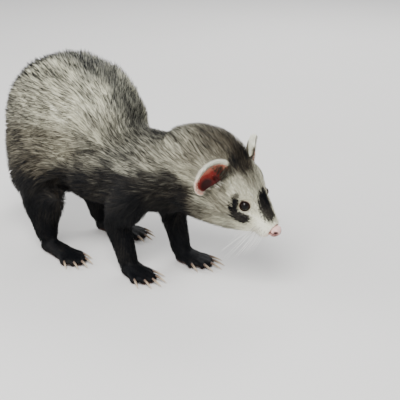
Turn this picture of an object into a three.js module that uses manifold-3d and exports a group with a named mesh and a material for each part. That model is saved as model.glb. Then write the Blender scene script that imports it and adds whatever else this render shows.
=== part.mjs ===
// A life-size sable ferret, standing on all fours with its loin arched high and its head lowered,
// turned a little to its left. Millimetres; +X is forward, +Y the animal's left and +Z up.
// The sizes are those of the animal with its coat. The soles lie flat on Z = 0.
import * as THREE from "three";
import { mergeVertices } from "three/addons/utils/BufferGeometryUtils.js";
import Module from "manifold-3d";

const wasm = await Module();
wasm.setup();

// Driving dimensions.
const GAP = 0.4; // clearance between neighbouring pieces
const FINENESS = 0.15; // how far a piece's facets may leave the shape it was cut to
const JOIN_FINENESS = 0.5; // the same for parts that are joined before they are cut
const HUMP_TOP = 171; // top of the arched loin above the floor
const FORE_FOOT_X = 60; // where the left forefoot's wrist stands
const FORE_STEP = 15; // how far the right forefoot stands behind the left one
const FORE_FOOT_Y = 24;
const HIND_FOOT_X = -33; // where the hind foot's heel stands
const HIND_FOOT_Y = 32;
const EYE_RADIUS = 4.1;
const EYE = [29, 12, 1]; // the left eye's centre, in the head's own frame
const HEAD_AT = [121, 6, 97]; // the point midway between the ears
const HEAD_PITCH = -42; // degrees; the nose points down
const HEAD_TURN = 10; // degrees, to the animal's left
const HEAD_ROLL = 12; // degrees; the left ear is the higher one

const COLOURS = {
  saddle: 0x8f897a,
  neck: 0x6e655b,
  mask: 0xb9b29f,
  limb: 0x2b2623,
  tail: 0x2e2925,
  ear: 0xd9b9a6,
  eye: 0x0c0a0a,
  nose: 0xd79a90,
  claw: 0xd8cbb4,
};

const degrees = THREE.MathUtils.degToRad;

const material = (name, roughness = 0.85) =>
  new THREE.MeshStandardMaterial({ color: COLOURS[name], roughness, metalness: 0 });

// One cross-section of a loft: its centre, and how far it reaches up, down and sideways.
const ring = (x, y, z, up, down, side) => ({ centre: [x, y, z], reach: [up, down, side] });

// A closed body through the rings, whose ends come to a point. `ref` is the direction that "up" means,
// and `more` makes it larger all over.
function loft(rings, { sides, rows, ref = [0, 0, 1], more = 0 }) {
  const line = new THREE.CatmullRomCurve3(rings.map((r) => new THREE.Vector3(...r.centre)), false, "centripetal");
  const size = new THREE.CatmullRomCurve3(rings.map((r) => new THREE.Vector3(...r.reach)), false, "catmullrom", 0.5);
  const geometry = new THREE.SphereGeometry(1, sides, rows);
  const { position, uv } = geometry.attributes;
  const reference = new THREE.Vector3(...ref);
  for (let i = 0; i < position.count; i++) {
    const along = 1 - uv.getY(i);
    const angle = 2 * Math.PI * uv.getX(i);
    const tangent = line.getTangent(along);
    const left = new THREE.Vector3().crossVectors(reference, tangent).normalize();
    const up = new THREE.Vector3().crossVectors(tangent, left);
    const reach = size.getPoint(along);
    const atEnd = along < 1e-6 || along > 1 - 1e-6;
    const high = Math.sin(angle) > 0 ? reach.x : reach.y;
    const grow = atEnd ? 0 : 1;
    const point = line
      .getPoint(along)
      .addScaledVector(up, grow * (high + more) * Math.sin(angle))
      .addScaledVector(left, grow * (reach.z + more) * Math.cos(angle))
      .addScaledVector(tangent, atEnd ? (along < 0.5 ? -more : more) : 0);
    position.setXYZ(i, point.x, point.y, point.z);
  }
  return geometry;
}

// An ellipsoid with its half-sizes along X, Y and Z, turned about Z by `turn` degrees.
function ellipsoid(centre, half, { sides = 14, rows = 10, more = 0, turn = 0 } = {}) {
  return new THREE.SphereGeometry(1, sides, rows)
    .scale(...half.map((h) => h + more))
    .rotateZ(degrees(turn))
    .translate(...centre);
}

// A geometry as a solid for booleans, its faces turned outwards.
function solid(geometry) {
  const bare = geometry.clone();
  bare.deleteAttribute("normal");
  bare.deleteAttribute("uv");
  const merged = mergeVertices(bare, 1e-4);
  const corners = new Uint32Array(merged.index.array);
  const kept = [];
  for (let i = 0; i < corners.length; i += 3) {
    const [a, b, c] = corners.subarray(i, i + 3);
    if (a !== b && b !== c && c !== a) kept.push(a, b, c);
  }
  const make = (list) =>
    new wasm.Manifold(
      new wasm.Mesh({
        numProp: 3,
        vertProperties: merged.attributes.position.array,
        triVerts: new Uint32Array(list),
      }),
    );
  const made = make(kept);
  return made.volume() > 0 ? made : make(kept.toReversed());
}

const joined = (solids) => solids.reduce((a, b) => a.add(b)).simplify(JOIN_FINENESS);

// The largest of the bodies that a cut leaves, so that no crumb stays with a piece.
function largest(made) {
  return made.decompose().reduce((a, b) => (b.volume() > a.volume() ? b : a));
}

function toMesh(name, made, colour) {
  const { numProp, vertProperties, triVerts } = made.simplify(FINENESS).getMesh();
  const places = new Float32Array((vertProperties.length / numProp) * 3);
  for (let i = 0; i < places.length / 3; i++) {
    places.set(vertProperties.subarray(i * numProp, i * numProp + 3), i * 3);
  }
  const geometry = new THREE.BufferGeometry();
  geometry.setAttribute("position", new THREE.BufferAttribute(places, 3));
  geometry.setIndex(new THREE.BufferAttribute(new Uint32Array(triVerts), 1));
  geometry.computeVertexNormals();
  const mesh = new THREE.Mesh(geometry, material(colour));
  mesh.name = name;
  return mesh;
}

// Everything above the floor.
const aboveFloor = (made) => made.subtract(solid(new THREE.BoxGeometry(600, 600, 100).translate(0, 0, -50)));

// A thin plate across a body, at a point and square to a direction.
function plate({ at, direction, width }) {
  const turned = new THREE.Quaternion().setFromUnitVectors(
    new THREE.Vector3(1, 0, 0),
    new THREE.Vector3(...direction).normalize(),
  );
  return solid(new THREE.BoxGeometry(GAP, width, width).applyQuaternion(turned).translate(...at));
}

// Parts a solid at a cut's plate and gives the piece that lies furthest along its direction, then the other.
function parted(made, cut) {
  const pieces = made
    .subtract(plate(cut))
    .decompose()
    .sort((a, b) => b.volume() - a.volume())
    .slice(0, 2);
  const along = (piece) => {
    const { min, max } = piece.boundingBox();
    return min.reduce((sum, low, i) => sum + ((low + max[i]) / 2) * cut.direction[i], 0);
  };
  return pieces.sort((a, b) => along(b) - along(a));
}

// The hindquarters and the loin, arched into a dome between the root of the tail and the back of the chest.
const LOIN = [
  ring(-103, 0, 78, 4, 4, 4),
  ring(-100, 0, 80, 12, 16, 16),
  ring(-93, 0, 84, 24, 26, 27),
  ring(-82, 0, 92, 37, 32, 34),
  ring(-67, 0, 104, 47, 34, 38),
  ring(-51, 0, 120, 46.5, 41, 39.5),
  ring(-36, 0, HUMP_TOP - 42, 42, 45, 39.5),
  ring(-20, 0, 126, 41.5, 53, 38.5),
  ring(-6, 0, 115, 40.5, 51, 37),
  ring(6, 0, 104, 35, 46, 34.5),
  ring(15, 0, 96, 28, 40, 30),
  ring(22, 0, 91, 19, 31, 22),
  ring(26, 0, 88, 6, 8, 6),
];

// The belly, which hangs level between the thighs and the elbows.
const BELLY = [
  ring(-62, 0, 80, 8, 8, 8),
  ring(-46, 0, 76, 20, 20, 26),
  ring(-24, 0, 72, 22, 26, 33),
  ring(0, 0, 70, 22, 25.5, 34),
  ring(24, 0, 71, 20, 23, 31),
  ring(42, 0, 73, 14, 16, 24),
  ring(50, 0, 74, 6, 6, 6),
];

// The chest and shoulders, whose back end lies inside the loin.
const CHEST = [
  ring(-26, 0, 96, 8, 8, 8),
  ring(-14, 0, 95, 20, 27, 24),
  ring(4, 0, 90, 27, 34, 32.5),
  ring(24, 0, 87, 29, 36, 33.5),
  ring(44, 0, 86, 29.5, 37, 33),
  ring(62, 0, 88, 28.5, 38, 31.5),
  ring(78, 1, 91, 27, 34, 28.5),
  ring(90, 1, 94, 20, 21, 21),
  ring(97, 1, 95, 6, 6, 6),
];

// The neck: from between the shoulders up over the nape to the back of the head.
const NECK = [
  ring(64, 0, 92, 18, 20, 20),
  ring(76, 1, 95, 27, 33, 27.5),
  ring(92, 2, 100, 29.5, 37, 27.5),
  ring(108, 4, 101, 28, 39, 26.5),
  ring(120, 6, 97, 24, 30, 24),
  ring(128, 7, 90, 12, 14, 14),
];

// The throat, which runs level from the chest to the chin under the lowered head.
const THROAT = [
  ring(72, 0, 82, 8, 10, 12),
  ring(89, 0, 77, 16, 20, 22),
  ring(107, 2, 73, 18, 20, 23.5),
  ring(124, 4.5, 71, 18, 19, 22),
  ring(138, 7.5, 67, 15, 17, 18),
  ring(150, 11, 60, 8, 9, 9.5),
  ring(156, 12.5, 56, 3, 4, 4),
];

// The tail hangs behind and swings to the animal's left.
const TAIL = [
  ring(-86, 0, 96, 8, 8, 8),
  ring(-97, 1, 89, 14, 14, 13),
  ring(-111, 6, 79, 14.5, 14.5, 14),
  ring(-126, 18, 65, 15, 15, 15),
  ring(-136, 35, 51, 15, 15, 15),
  ring(-139, 54, 40, 13.5, 13.5, 13.5),
  ring(-136, 73, 33, 10, 10, 10),
  ring(-130, 88, 30, 2, 2, 2),
];

// The head, in its own frame: X to the nose, Y to the left ear and Z to the crown.
const HEAD = [
  ring(-19, 0, -3, 8, 8, 10),
  ring(-13, 0, -2, 15.5, 18, 19.5),
  ring(-3, 0, -1, 18.5, 20, 23),
  ring(8, 0, 0, 17.8, 20, 24),
  ring(18, 0, -0.5, 15, 19, 22),
  ring(25, 0, -1.5, 12.8, 18, 18.4),
  ring(32, 0, -2.6, 11.2, 16.2, 15),
  ring(40, 0, -3.8, 9.8, 13.8, 12.2),
  ring(48, 0, -4.9, 7.9, 11, 10),
  ring(55, 0, -5.6, 6, 8, 8.2),
  ring(59.5, 0, -6.2, 3.8, 4.4, 5),
];

const headMatrix = new THREE.Matrix4().compose(
  new THREE.Vector3(...HEAD_AT),
  new THREE.Quaternion().setFromEuler(
    new THREE.Euler(degrees(HEAD_ROLL), degrees(-HEAD_PITCH), degrees(HEAD_TURN), "ZYX"),
  ),
  new THREE.Vector3(1, 1, 1),
);

// A geometry of the head's own frame, put where the head is.
const onHead = (geometry) => geometry.applyMatrix4(headMatrix);

// The sides of the body, as the sign of Y.
const SIDES = { left: 1, right: -1 };

// How far back the forefoot of the side s stands.
const stepBack = (s) => (s < 0 ? FORE_STEP : 0);

// Limbs: the front and back reach of each ring are its "up" and "down".
const foreUpper = (s) => [
  ring(62 - 0.3 * stepBack(s), s * 19, 92, 10, 10, 7),
  ring(62 - 0.45 * stepBack(s), s * 22, 84, 20, 20, 12.5),
  ring(FORE_FOOT_X - 2 - 0.75 * stepBack(s), s * 24, 66, 19, 20, 13),
  ring(FORE_FOOT_X - 10 - stepBack(s), s * 25, 48, 15, 16, 12),
  ring(FORE_FOOT_X - 15 - stepBack(s), s * 25, 38, 7, 7, 7),
];
const foreLower = (s) => [
  ring(FORE_FOOT_X - 14 - stepBack(s), s * 25, 52, 7, 7, 6),
  ring(FORE_FOOT_X - 12.5 - stepBack(s), s * 25, 43, 12, 12.5, 11),
  ring(FORE_FOOT_X - 8 - stepBack(s), s * 24.5, 29, 10, 10, 9.5),
  ring(FORE_FOOT_X - 3.5 - stepBack(s), s * FORE_FOOT_Y, 15, 8.8, 8.6, 8.6),
  ring(FORE_FOOT_X - 1 - stepBack(s), s * FORE_FOOT_Y, 3, 7.5, 7.5, 7.5),
];
const hindUpper = (s) => [
  ring(-74, s * 19, 116, 12, 14, 7),
  ring(-71, s * 22, 102, 30, 27, 14),
  ring(-62, s * 25, 82, 39, 33, 16),
  ring(-51, s * 29, 62, 38, 32, 16),
  ring(-43, s * 31, 46, 24, 20, 11),
];
const hindLower = (s) => [
  ring(-42, s * 31, 62, 10, 12, 8),
  ring(-43, s * 31, 52, 22, 26, 13),
  ring(-44, s * 31.5, 38, 17, 27, 12),
  ring(-44, s * HIND_FOOT_Y, 22, 11.5, 14, 9.5),
  ring(-41, s * HIND_FOOT_Y, 4, 9, 8, 7.5),
];

// Each toe: how far out from the foot's line, how far on, its bearing in degrees and its length.
// The inner toe is the shortest and stands furthest back.
const TOES = [
  { name: "inner", out: -7.6, on: -5.5, bearing: -26, length: 9 },
  { name: "second", out: -4.3, on: 0, bearing: -10, length: 12 },
  { name: "third", out: 0, on: 1.6, bearing: 0, length: 13 },
  { name: "fourth", out: 4.4, on: 0.4, bearing: 10, length: 12 },
  { name: "outer", out: 7.8, on: -3.6, bearing: 24, length: 10 },
];
const TOE_RADIUS = 3.3;

// The two kinds of foot: the sole's length from heel to toes, the claws' length and the direction it points.
const FEET = {
  fore: { heelX: FORE_FOOT_X - 3, heelY: FORE_FOOT_Y, sole: 17, palm: 9.6, claw: 9.5, splay: 6 },
  hind: { heelX: HIND_FOOT_X - 12, heelY: HIND_FOOT_Y, sole: 36, palm: 9.4, claw: 7, splay: 7 },
};

// The middle of a foot's heel on the floor, for the side s.
const heelOf = (foot, s) =>
  new THREE.Vector3(foot.heelX - (foot === FEET.fore ? stepBack(s) : 0), s * foot.heelY, 0);

// A toe's root and direction on the floor plan of a foot, for the side s.
function toeLine(foot, toe, s) {
  const heading = degrees(foot.splay * s);
  const forward = new THREE.Vector3(Math.cos(heading), Math.sin(heading), 0);
  const outward = new THREE.Vector3(-Math.sin(heading), Math.cos(heading), 0).multiplyScalar(s);
  const root = heelOf(foot, s)
    .addScaledVector(forward, foot.sole + toe.on)
    .addScaledVector(outward, toe.out);
  const bearing = degrees(toe.bearing);
  const direction = forward
    .clone()
    .multiplyScalar(Math.cos(bearing))
    .addScaledVector(outward, Math.sin(bearing));
  return { root, direction, forward };
}

function toeSolid(foot, toe, s) {
  const { root, direction } = toeLine(foot, toe, s);
  const at = (distance, z, r) => {
    const p = root.clone().addScaledVector(direction, distance);
    return ring(p.x, p.y, z, r, r, r * 1.02);
  };
  return solid(
    loft(
      [
        at(-4, 5, 1.6),
        at(-1, 5, TOE_RADIUS),
        at(toe.length * 0.45, 4.2, TOE_RADIUS),
        at(toe.length * 0.85, 2.7, TOE_RADIUS),
        at(toe.length, 2.3, 1.8),
      ],
      { sides: 6, rows: 4 },
    ),
  );
}

// The foot below the wrist or hock: a low palm or sole and five toes, flat underneath.
function footSolid(kind, s) {
  const foot = FEET[kind];
  const { forward } = toeLine(foot, TOES[2], s);
  const heel = heelOf(foot, s);
  const at = (share, z, up, side) => {
    const p = heel.clone().addScaledVector(forward, foot.sole * share);
    return ring(p.x, p.y, z, up, 8, side);
  };
  const palms = {
    fore: [
      at(-0.3, 6, 4, 4),
      at(-0.05, 6.5, 7, 7.6),
      at(0.5, 5.5, 6.4, foot.palm),
      at(1, 4.4, 4.6, foot.palm),
      at(1.25, 3.6, 1.5, 4),
    ],
    hind: [
      at(-0.12, 6, 3, 3),
      at(0, 6.5, 7.5, 6.6),
      at(0.4, 6, 6.8, 7.6),
      at(0.8, 5, 5.6, foot.palm),
      at(1, 4.2, 4.4, foot.palm),
      at(1.1, 3.6, 1.5, 4),
    ],
  };
  const palm = solid(loft(palms[kind], { sides: 9, rows: 5 }));
  return aboveFloor(joined([palm, ...TOES.map((toe) => toeSolid(foot, toe, s))]));
}

// A claw: a curved horn that leaves the toe's end and turns down to just over the floor.
function clawSolid(foot, toe, s, more = 0) {
  const { root, direction } = toeLine(foot, toe, s);
  const at = (distance, z, r) => {
    const p = root.clone().addScaledVector(direction, toe.length + distance);
    return ring(p.x, p.y, z, r, r, r * 0.72);
  };
  return solid(
    loft(
      [
        at(-2.6, 3.7, 0.9),
        at(-1.6, 4, 1.25),
        at(foot.claw * 0.35, 4, 1.05),
        at(foot.claw * 0.75, 2.6, 0.7),
        at(foot.claw, 1, 0.4),
      ],
      { sides: 5, rows: 3, more },
    ),
  );
}

// An ear: a rounded scoop, wider than it is tall, that leans back and opens forward and out.
const EAR = {
  at: [0.5, 24.8, 8.5], // its middle, on the left side
  half: [6.5, 15.3, 12.3], // half its depth, width and height
  hollow: [6, 13.2, 10.4], // the same of the hollow in front
  forward: 5, // how far the hollow stands ahead of the scoop's middle
  outward: 42, // degrees; how far its outward direction is lifted from sideways
  open: 52, // degrees; how far its opening is turned from forward to outward
};

// The directions of an ear's opening, width and height.
function earAxes(s) {
  const lift = degrees(EAR.outward);
  const open = degrees(EAR.open);
  const outward = new THREE.Vector3(0, s * Math.cos(lift), Math.sin(lift));
  const forward = new THREE.Vector3(1, 0, 0);
  const opening = forward.clone().multiplyScalar(Math.cos(open)).addScaledVector(outward, Math.sin(open));
  const height = forward.clone().multiplyScalar(-Math.sin(open)).addScaledVector(outward, Math.cos(open));
  return new THREE.Matrix4().makeBasis(opening, new THREE.Vector3().crossVectors(height, opening), height);
}

function earSolid(s, more = 0) {
  const shape = (half, forward, grow) =>
    onHead(
      new THREE.SphereGeometry(1, 12, 8)
        .rotateX(Math.PI / 2)
        .scale(...half.map((h) => h + grow))
        .translate(forward, 0, 0)
        .applyMatrix4(earAxes(s))
        .translate(EAR.at[0], EAR.at[1] * s, EAR.at[2]),
    );
  const cup = solid(shape(EAR.half, 0, more));
  return more ? cup : cup.subtract(solid(shape(EAR.hollow, EAR.forward, 0)));
}

function eyeSolid(s, more = 0) {
  const ball = ellipsoid([EYE[0], EYE[1] * s, EYE[2]], [EYE_RADIUS, EYE_RADIUS, EYE_RADIUS], {
    sides: 10,
    rows: 7,
    more,
  });
  return solid(onHead(ball));
}

const NOSE = { centre: [58.6, 0, -4.9], half: [3.4, 5.2, 3.9] };

const noseSolid = (more = 0) =>
  solid(onHead(ellipsoid(NOSE.centre, NOSE.half, { sides: 10, rows: 6, more })));

// The fleshy parts of the head that stand out from its loft: whisker pads, cheeks and chin.
function headSolid() {
  const bump = (centre, half) => solid(onHead(ellipsoid(centre, half, { sides: 8, rows: 5 })));
  const both = ([x, y, z], half) => Object.values(SIDES).map((s) => bump([x, y * s, z], half));
  return joined([
    solid(onHead(loft(HEAD, { sides: 20, rows: HEAD.length - 1 }))),
    ...both([51.3, 4.7, -8.9], [6.8, 5.2, 6]),
    ...both([17, 17, -7], [14, 8.8, 12]),
    bump([45, 0, -14.6], [8.5, 5.8, 4.6]),
  ]);
}

// Where the body is parted into pieces: a point of each cut, the direction it is square to and its width.
const CUTS = {
  head: { at: [110, 5, 98], direction: [0.93, 0.1, -0.35], width: 110 },
  neck: { at: [82, 0, 96], direction: [1, 0, 0.15], width: 160 },
  tail: { at: [-103, 1, 86], direction: [0.85, -0.1, 0.5], width: 60 },
  chest: { at: [30, 0, 106], direction: [1, 0, -0.45], width: 160 },
};

// The whole animal in named pieces.
function ferret() {
  const pieces = {};
  const sides = Object.entries(SIDES);
  const limb = { sides: 12, rows: 7, ref: [1, 0, 0] };
  const legRooms = [];
  for (const [side, s] of sides) {
    for (const [kind, upper, lower] of [
      ["fore", foreUpper, foreLower],
      ["hind", hindUpper, hindLower],
    ]) {
      const foot = FEET[kind];
      const upperSolid = solid(loft(upper(s), limb));
      const upperRoom = solid(loft(upper(s), { ...limb, more: GAP }));
      const lowerRound = { ...limb, rows: 8 };
      const shank = solid(loft(lower(s), lowerRound)).subtract(upperRoom);
      const shankRoom = solid(loft(lower(s), { ...lowerRound, more: GAP }));
      legRooms.push(upperRoom, shankRoom);
      const claws = TOES.map((toe) => [toe.name, clawSolid(foot, toe, s), clawSolid(foot, toe, s, GAP)]);
      const paw = claws.reduce((made, claw) => made.subtract(claw[2]), footSolid(kind, s)).subtract(shankRoom);
      pieces[`${side}_${kind}_upper_leg`] = [largest(upperSolid), "limb"];
      pieces[`${side}_${kind}_lower_leg`] = [largest(aboveFloor(shank)), "limb"];
      pieces[`${side}_${kind}_paw`] = [largest(paw), "limb"];
      for (const [toe, claw] of claws) pieces[`${side}_${kind}_claw_${toe}`] = [aboveFloor(claw), "claw"];
    }
  }

  const features = sides.flatMap(([, s]) => [eyeSolid(s, GAP), earSolid(s, GAP)]).concat(noseSolid(GAP));
  const headWhole = headSolid();
  const neckWhole = joined([
    solid(loft(NECK, { sides: 16, rows: 2 * (NECK.length - 1) })),
    solid(loft(THROAT, { sides: 12, rows: 2 * (THROAT.length - 1) })),
  ]);
  const trunkWhole = joined([
    solid(loft(LOIN, { sides: 20, rows: LOIN.length - 1 })),
    solid(loft(CHEST, { sides: 18, rows: CHEST.length - 1 })),
    solid(loft(BELLY, { sides: 16, rows: BELLY.length })),
  ]);
  const tailWhole = solid(loft(TAIL, { sides: 12, rows: 2 * (TAIL.length - 1) }));
  const whole = joined([trunkWhole, neckWhole, headWhole, tailWhole]);
  const cut = [...legRooms, ...features].reduce((made, other) => made.subtract(other), whole);

  const [head, behindHead] = parted(cut, CUTS.head);
  const [neck, trunkTail] = parted(behindHead, CUTS.neck);
  const [trunk, tail] = parted(trunkTail, CUTS.tail);
  const [chest, loin] = parted(trunk, CUTS.chest);

  pieces.head = [head, "mask"];
  pieces.neck = [neck, "neck"];
  pieces.chest = [chest, "saddle"];
  pieces.loin = [loin, "saddle"];
  pieces.tail = [tail, "tail"];
  pieces.nose = [noseSolid(), "nose"];
  for (const [side, s] of sides) {
    pieces[`${side}_ear`] = [largest(earSolid(s)), "ear"];
    pieces[`${side}_eye`] = [eyeSolid(s), "eye"];
  }
  return pieces;
}

const group = new THREE.Group();
for (const [name, [made, colour]] of Object.entries(ferret())) group.add(toMesh(name, made, colour));

// The origin is the middle of the animal's floor plan, on the floor.
const box = new THREE.Box3().setFromObject(group);
const middle = box.getCenter(new THREE.Vector3());
group.position.set(-middle.x, -middle.y, 0);

export default group;
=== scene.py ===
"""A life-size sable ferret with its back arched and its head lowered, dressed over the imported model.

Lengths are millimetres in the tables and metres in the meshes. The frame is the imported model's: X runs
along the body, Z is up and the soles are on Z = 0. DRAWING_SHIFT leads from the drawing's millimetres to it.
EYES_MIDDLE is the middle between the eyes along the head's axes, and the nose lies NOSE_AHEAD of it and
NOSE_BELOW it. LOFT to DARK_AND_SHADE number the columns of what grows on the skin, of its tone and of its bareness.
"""

import logging
import math
from dataclasses import dataclass, field
from enum import Enum

import bmesh
import bpy
import numpy as np
from mathutils import Matrix, Vector
from mathutils.bvhtree import BVHTree
from mathutils.kdtree import KDTree


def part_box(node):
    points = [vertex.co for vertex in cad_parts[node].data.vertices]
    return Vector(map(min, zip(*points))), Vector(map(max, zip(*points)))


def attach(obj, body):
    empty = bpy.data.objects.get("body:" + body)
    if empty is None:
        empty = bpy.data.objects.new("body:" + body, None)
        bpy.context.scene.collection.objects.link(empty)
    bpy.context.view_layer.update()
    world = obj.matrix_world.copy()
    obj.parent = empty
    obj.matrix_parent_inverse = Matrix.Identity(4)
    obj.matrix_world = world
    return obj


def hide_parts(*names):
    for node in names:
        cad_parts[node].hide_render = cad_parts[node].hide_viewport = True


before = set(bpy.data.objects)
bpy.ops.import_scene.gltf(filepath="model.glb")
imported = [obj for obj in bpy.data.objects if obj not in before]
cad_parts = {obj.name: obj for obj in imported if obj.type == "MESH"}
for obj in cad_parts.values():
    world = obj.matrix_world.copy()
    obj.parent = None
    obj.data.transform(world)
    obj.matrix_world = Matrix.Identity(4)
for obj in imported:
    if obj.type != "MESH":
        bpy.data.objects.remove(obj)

Array = np.ndarray
Triple = tuple[float, float, float]
Colour = tuple[int, int, int]
Piece = bpy.types.Object

MM = 0.001
DRAWING_SHIFT = np.array([-5.77, -17.78, 0.0])
EYES_MIDDLE = np.array([29.0, 0.0, 1.0])
NOSE_AHEAD, NOSE_BELOW = 29.6, 5.9
SEED = 20
SLIVER = 1e-13
RAY_REACH = 0.03
FLOOR_GAP = 0.0003
LOFT, LENGTH, WIDTH, CROWD = range(4)
SHADE, TIPS, WARMTH, BLUSH = range(4)
BARE, RED, DARK_AND_SHADE = range(3)
log = logging.getLogger("ferret")


class Side(Enum):
    """The animal's two sides, by the sign of their sideways axis."""

    LEFT = 1
    RIGHT = -1

    @property
    def word(self) -> str:
        """The side as the model's nodes name it."""
        return self.name.lower()


def unit(vectors: Array) -> Array:
    """Scales vectors to length one, along their last axis."""
    size = np.linalg.norm(vectors, axis=-1, keepdims=True)
    return vectors / np.maximum(size, 1e-12)


def ease(low: float, high: float, values: Array) -> Array:
    """Rises smoothly from 0 at low to 1 at high, or falls where high is below low."""
    share = np.clip((values - low) / (high - low), 0.0, 1.0)
    return share * share * (3.0 - 2.0 * share)


def linear(red: float, green: float, blue: float) -> tuple[float, float, float, float]:
    """Turns a colour of 0 to 255 a channel into the linear colour that a shader takes."""
    parts = [value / 255.0 for value in (red, green, blue)]
    curved = [value / 12.92 if value <= 0.04045 else ((value + 0.055) / 1.055) ** 2.4 for value in parts]
    return (curved[0], curved[1], curved[2], 1.0)


def struck(skin: BVHTree, start: Array, way: Array) -> Array | None:
    """Where a line from a point first meets the skin, in metres, if it is near."""
    hit = skin.ray_cast(Vector(start), Vector(way), RAY_REACH)[0]
    return None if hit is None else np.array(hit)


def node_centre(name: str) -> Array:
    """The middle of a node's box, in metres."""
    low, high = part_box(name)
    return np.array((low + high) / 2.0)


def node_arrays(name: str) -> tuple[Array, Array]:
    """Reads a node's mesh.

    Args:
        name: The node.

    Returns:
        Its vertices in metres and its triangles.
    """
    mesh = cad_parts[name].data
    mesh.calc_loop_triangles()
    verts = np.empty(len(mesh.vertices) * 3)
    mesh.vertices.foreach_get("co", verts)
    tris = np.empty(len(mesh.loop_triangles) * 3, dtype=np.int32)
    mesh.loop_triangles.foreach_get("vertices", tris)
    return verts.reshape(-1, 3), tris.reshape(-1, 3)


def mirrored(spot: Triple, side: float) -> Array:
    """Carries a point or a direction of the left side over to the side asked for."""
    return np.array(spot, dtype=float) * np.array([1.0, side, 1.0])


def crosses(verts: Array, tris: Array) -> Array:
    """A vector along each triangle's normal, as long as twice its area."""
    corners = verts[tris]
    return np.cross(corners[:, 1] - corners[:, 0], corners[:, 2] - corners[:, 0])


def without_slivers(verts: Array, tris: Array) -> Array:
    """Leaves out the triangles that have no area, such as those at a ball's poles."""
    return tris[np.linalg.norm(crosses(verts, tris), axis=1) > SLIVER]


def vertex_normals(verts: Array, tris: Array) -> Array:
    """Averages the triangles' normals at each vertex, weighted by area.

    Args:
        verts: Vertices.
        tris: Triangles.

    Returns:
        A unit vector for each vertex.
    """
    across = crosses(verts, tris)
    total = np.zeros_like(verts)
    for corner in range(3):
        for axis in range(3):
            total[:, axis] += np.bincount(tris[:, corner], across[:, axis], len(verts))
    return unit(total)


def waves(points: Array, length: float, seed: int) -> Array:
    """Smooth noise made of sine waves.

    Args:
        points: Where it is wanted, in mm.
        length: The typical wavelength, in mm.
        seed: Picks the pattern.

    Returns:
        A value of about -1 to 1 at each point.
    """
    rng = np.random.default_rng(seed)
    total = np.zeros(len(points))
    for _ in range(7):
        direction = unit(rng.normal(size=3)) * (2.0 * math.pi / (length * rng.uniform(0.7, 1.5)))
        total += np.sin(points @ direction + rng.uniform(0.0, 2.0 * math.pi))
    return total / 3.2


def polyline_distance(points: Array, path: Array) -> Array:
    """The distance from each point to a path of straight steps.

    Args:
        points: The points.
        path: The corners of the path.

    Returns:
        The distances.
    """
    nearest = np.full(len(points), np.inf)
    for start, stop in zip(path[:-1], path[1:]):
        step = stop - start
        share = np.clip((points - start) @ step / (step @ step), 0.0, 1.0)
        nearest = np.minimum(nearest, np.linalg.norm(points - start - share[:, None] * step, axis=1))
    return nearest


def grid_triangles(rows: int, columns: int) -> Array:
    """Joins rings of vertices into a tube.

    Args:
        rows: How many rings there are.
        columns: How many vertices a ring has.

    Returns:
        The triangles.
    """
    row = np.arange(rows - 1)[:, None] * columns
    here = np.arange(columns)[None, :]
    there = (here + 1) % columns
    first = np.stack([row + here, row + there, row + columns + there], axis=-1)
    second = np.stack([row + here, row + columns + there, row + columns + here], axis=-1)
    return np.concatenate([first.reshape(-1, 3), second.reshape(-1, 3)])


def turns(count: int, start: float = 0.0) -> Array:
    """Angles at even steps round a circle from a first one."""
    return np.linspace(start, start + 2.0 * math.pi, count, endpoint=False)


def ball_grid(rows: int, columns: int) -> tuple[Array, Array, Array]:
    """Lays rings of points on a ball of radius 1, from pole to pole.

    Args:
        rows: How many rings, the poles among them.
        columns: How many points a ring has.

    Returns:
        The points, with the poles on the last axis, and each one's angle from the pole and round it.
    """
    polar = np.linspace(0.0, math.pi, rows)[:, None]
    around = turns(columns)[None, :]
    points = np.stack(
        [np.sin(polar) * np.cos(around), np.sin(polar) * np.sin(around), np.cos(polar) + 0.0 * around],
        axis=-1,
    )
    return points.reshape(-1, 3), np.repeat(polar.ravel(), columns), np.tile(around.ravel(), rows)


def make_mesh(name: str, verts: Array, tris: Array) -> Piece:
    """Makes a smooth-shaded object from arrays and links it to the scene.

    Args:
        name: The object's name.
        verts: Its vertices, in metres.
        tris: Its triangles.

    Returns:
        The object.
    """
    mesh = bpy.data.meshes.new(name)
    mesh.vertices.add(len(verts))
    mesh.vertices.foreach_set("co", verts.astype(np.float32).ravel())
    mesh.loops.add(tris.size)
    mesh.loops.foreach_set("vertex_index", tris.astype(np.int32).ravel())
    mesh.polygons.add(len(tris))
    mesh.polygons.foreach_set("loop_start", np.arange(0, tris.size, 3, dtype=np.int32))
    mesh.polygons.foreach_set("use_smooth", np.ones(len(tris), dtype=bool))
    mesh.update(calc_edges=True)
    made = bpy.data.objects.new(name, mesh)
    bpy.context.scene.collection.objects.link(made)
    return made


def add_channels(piece: Piece, name: str, values: Array) -> None:
    """Stores four numbers a vertex under a name that a material can read."""
    layer = piece.data.attributes.new(name, "FLOAT_COLOR", "POINT")
    layer.data.foreach_set("color", values.astype(np.float32).ravel())


def dress(piece: Piece, material: bpy.types.Material) -> None:
    """Gives a piece its material and its place on the root body."""
    piece.data.materials.clear()
    piece.data.materials.append(material)
    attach(piece, "root")


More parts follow.
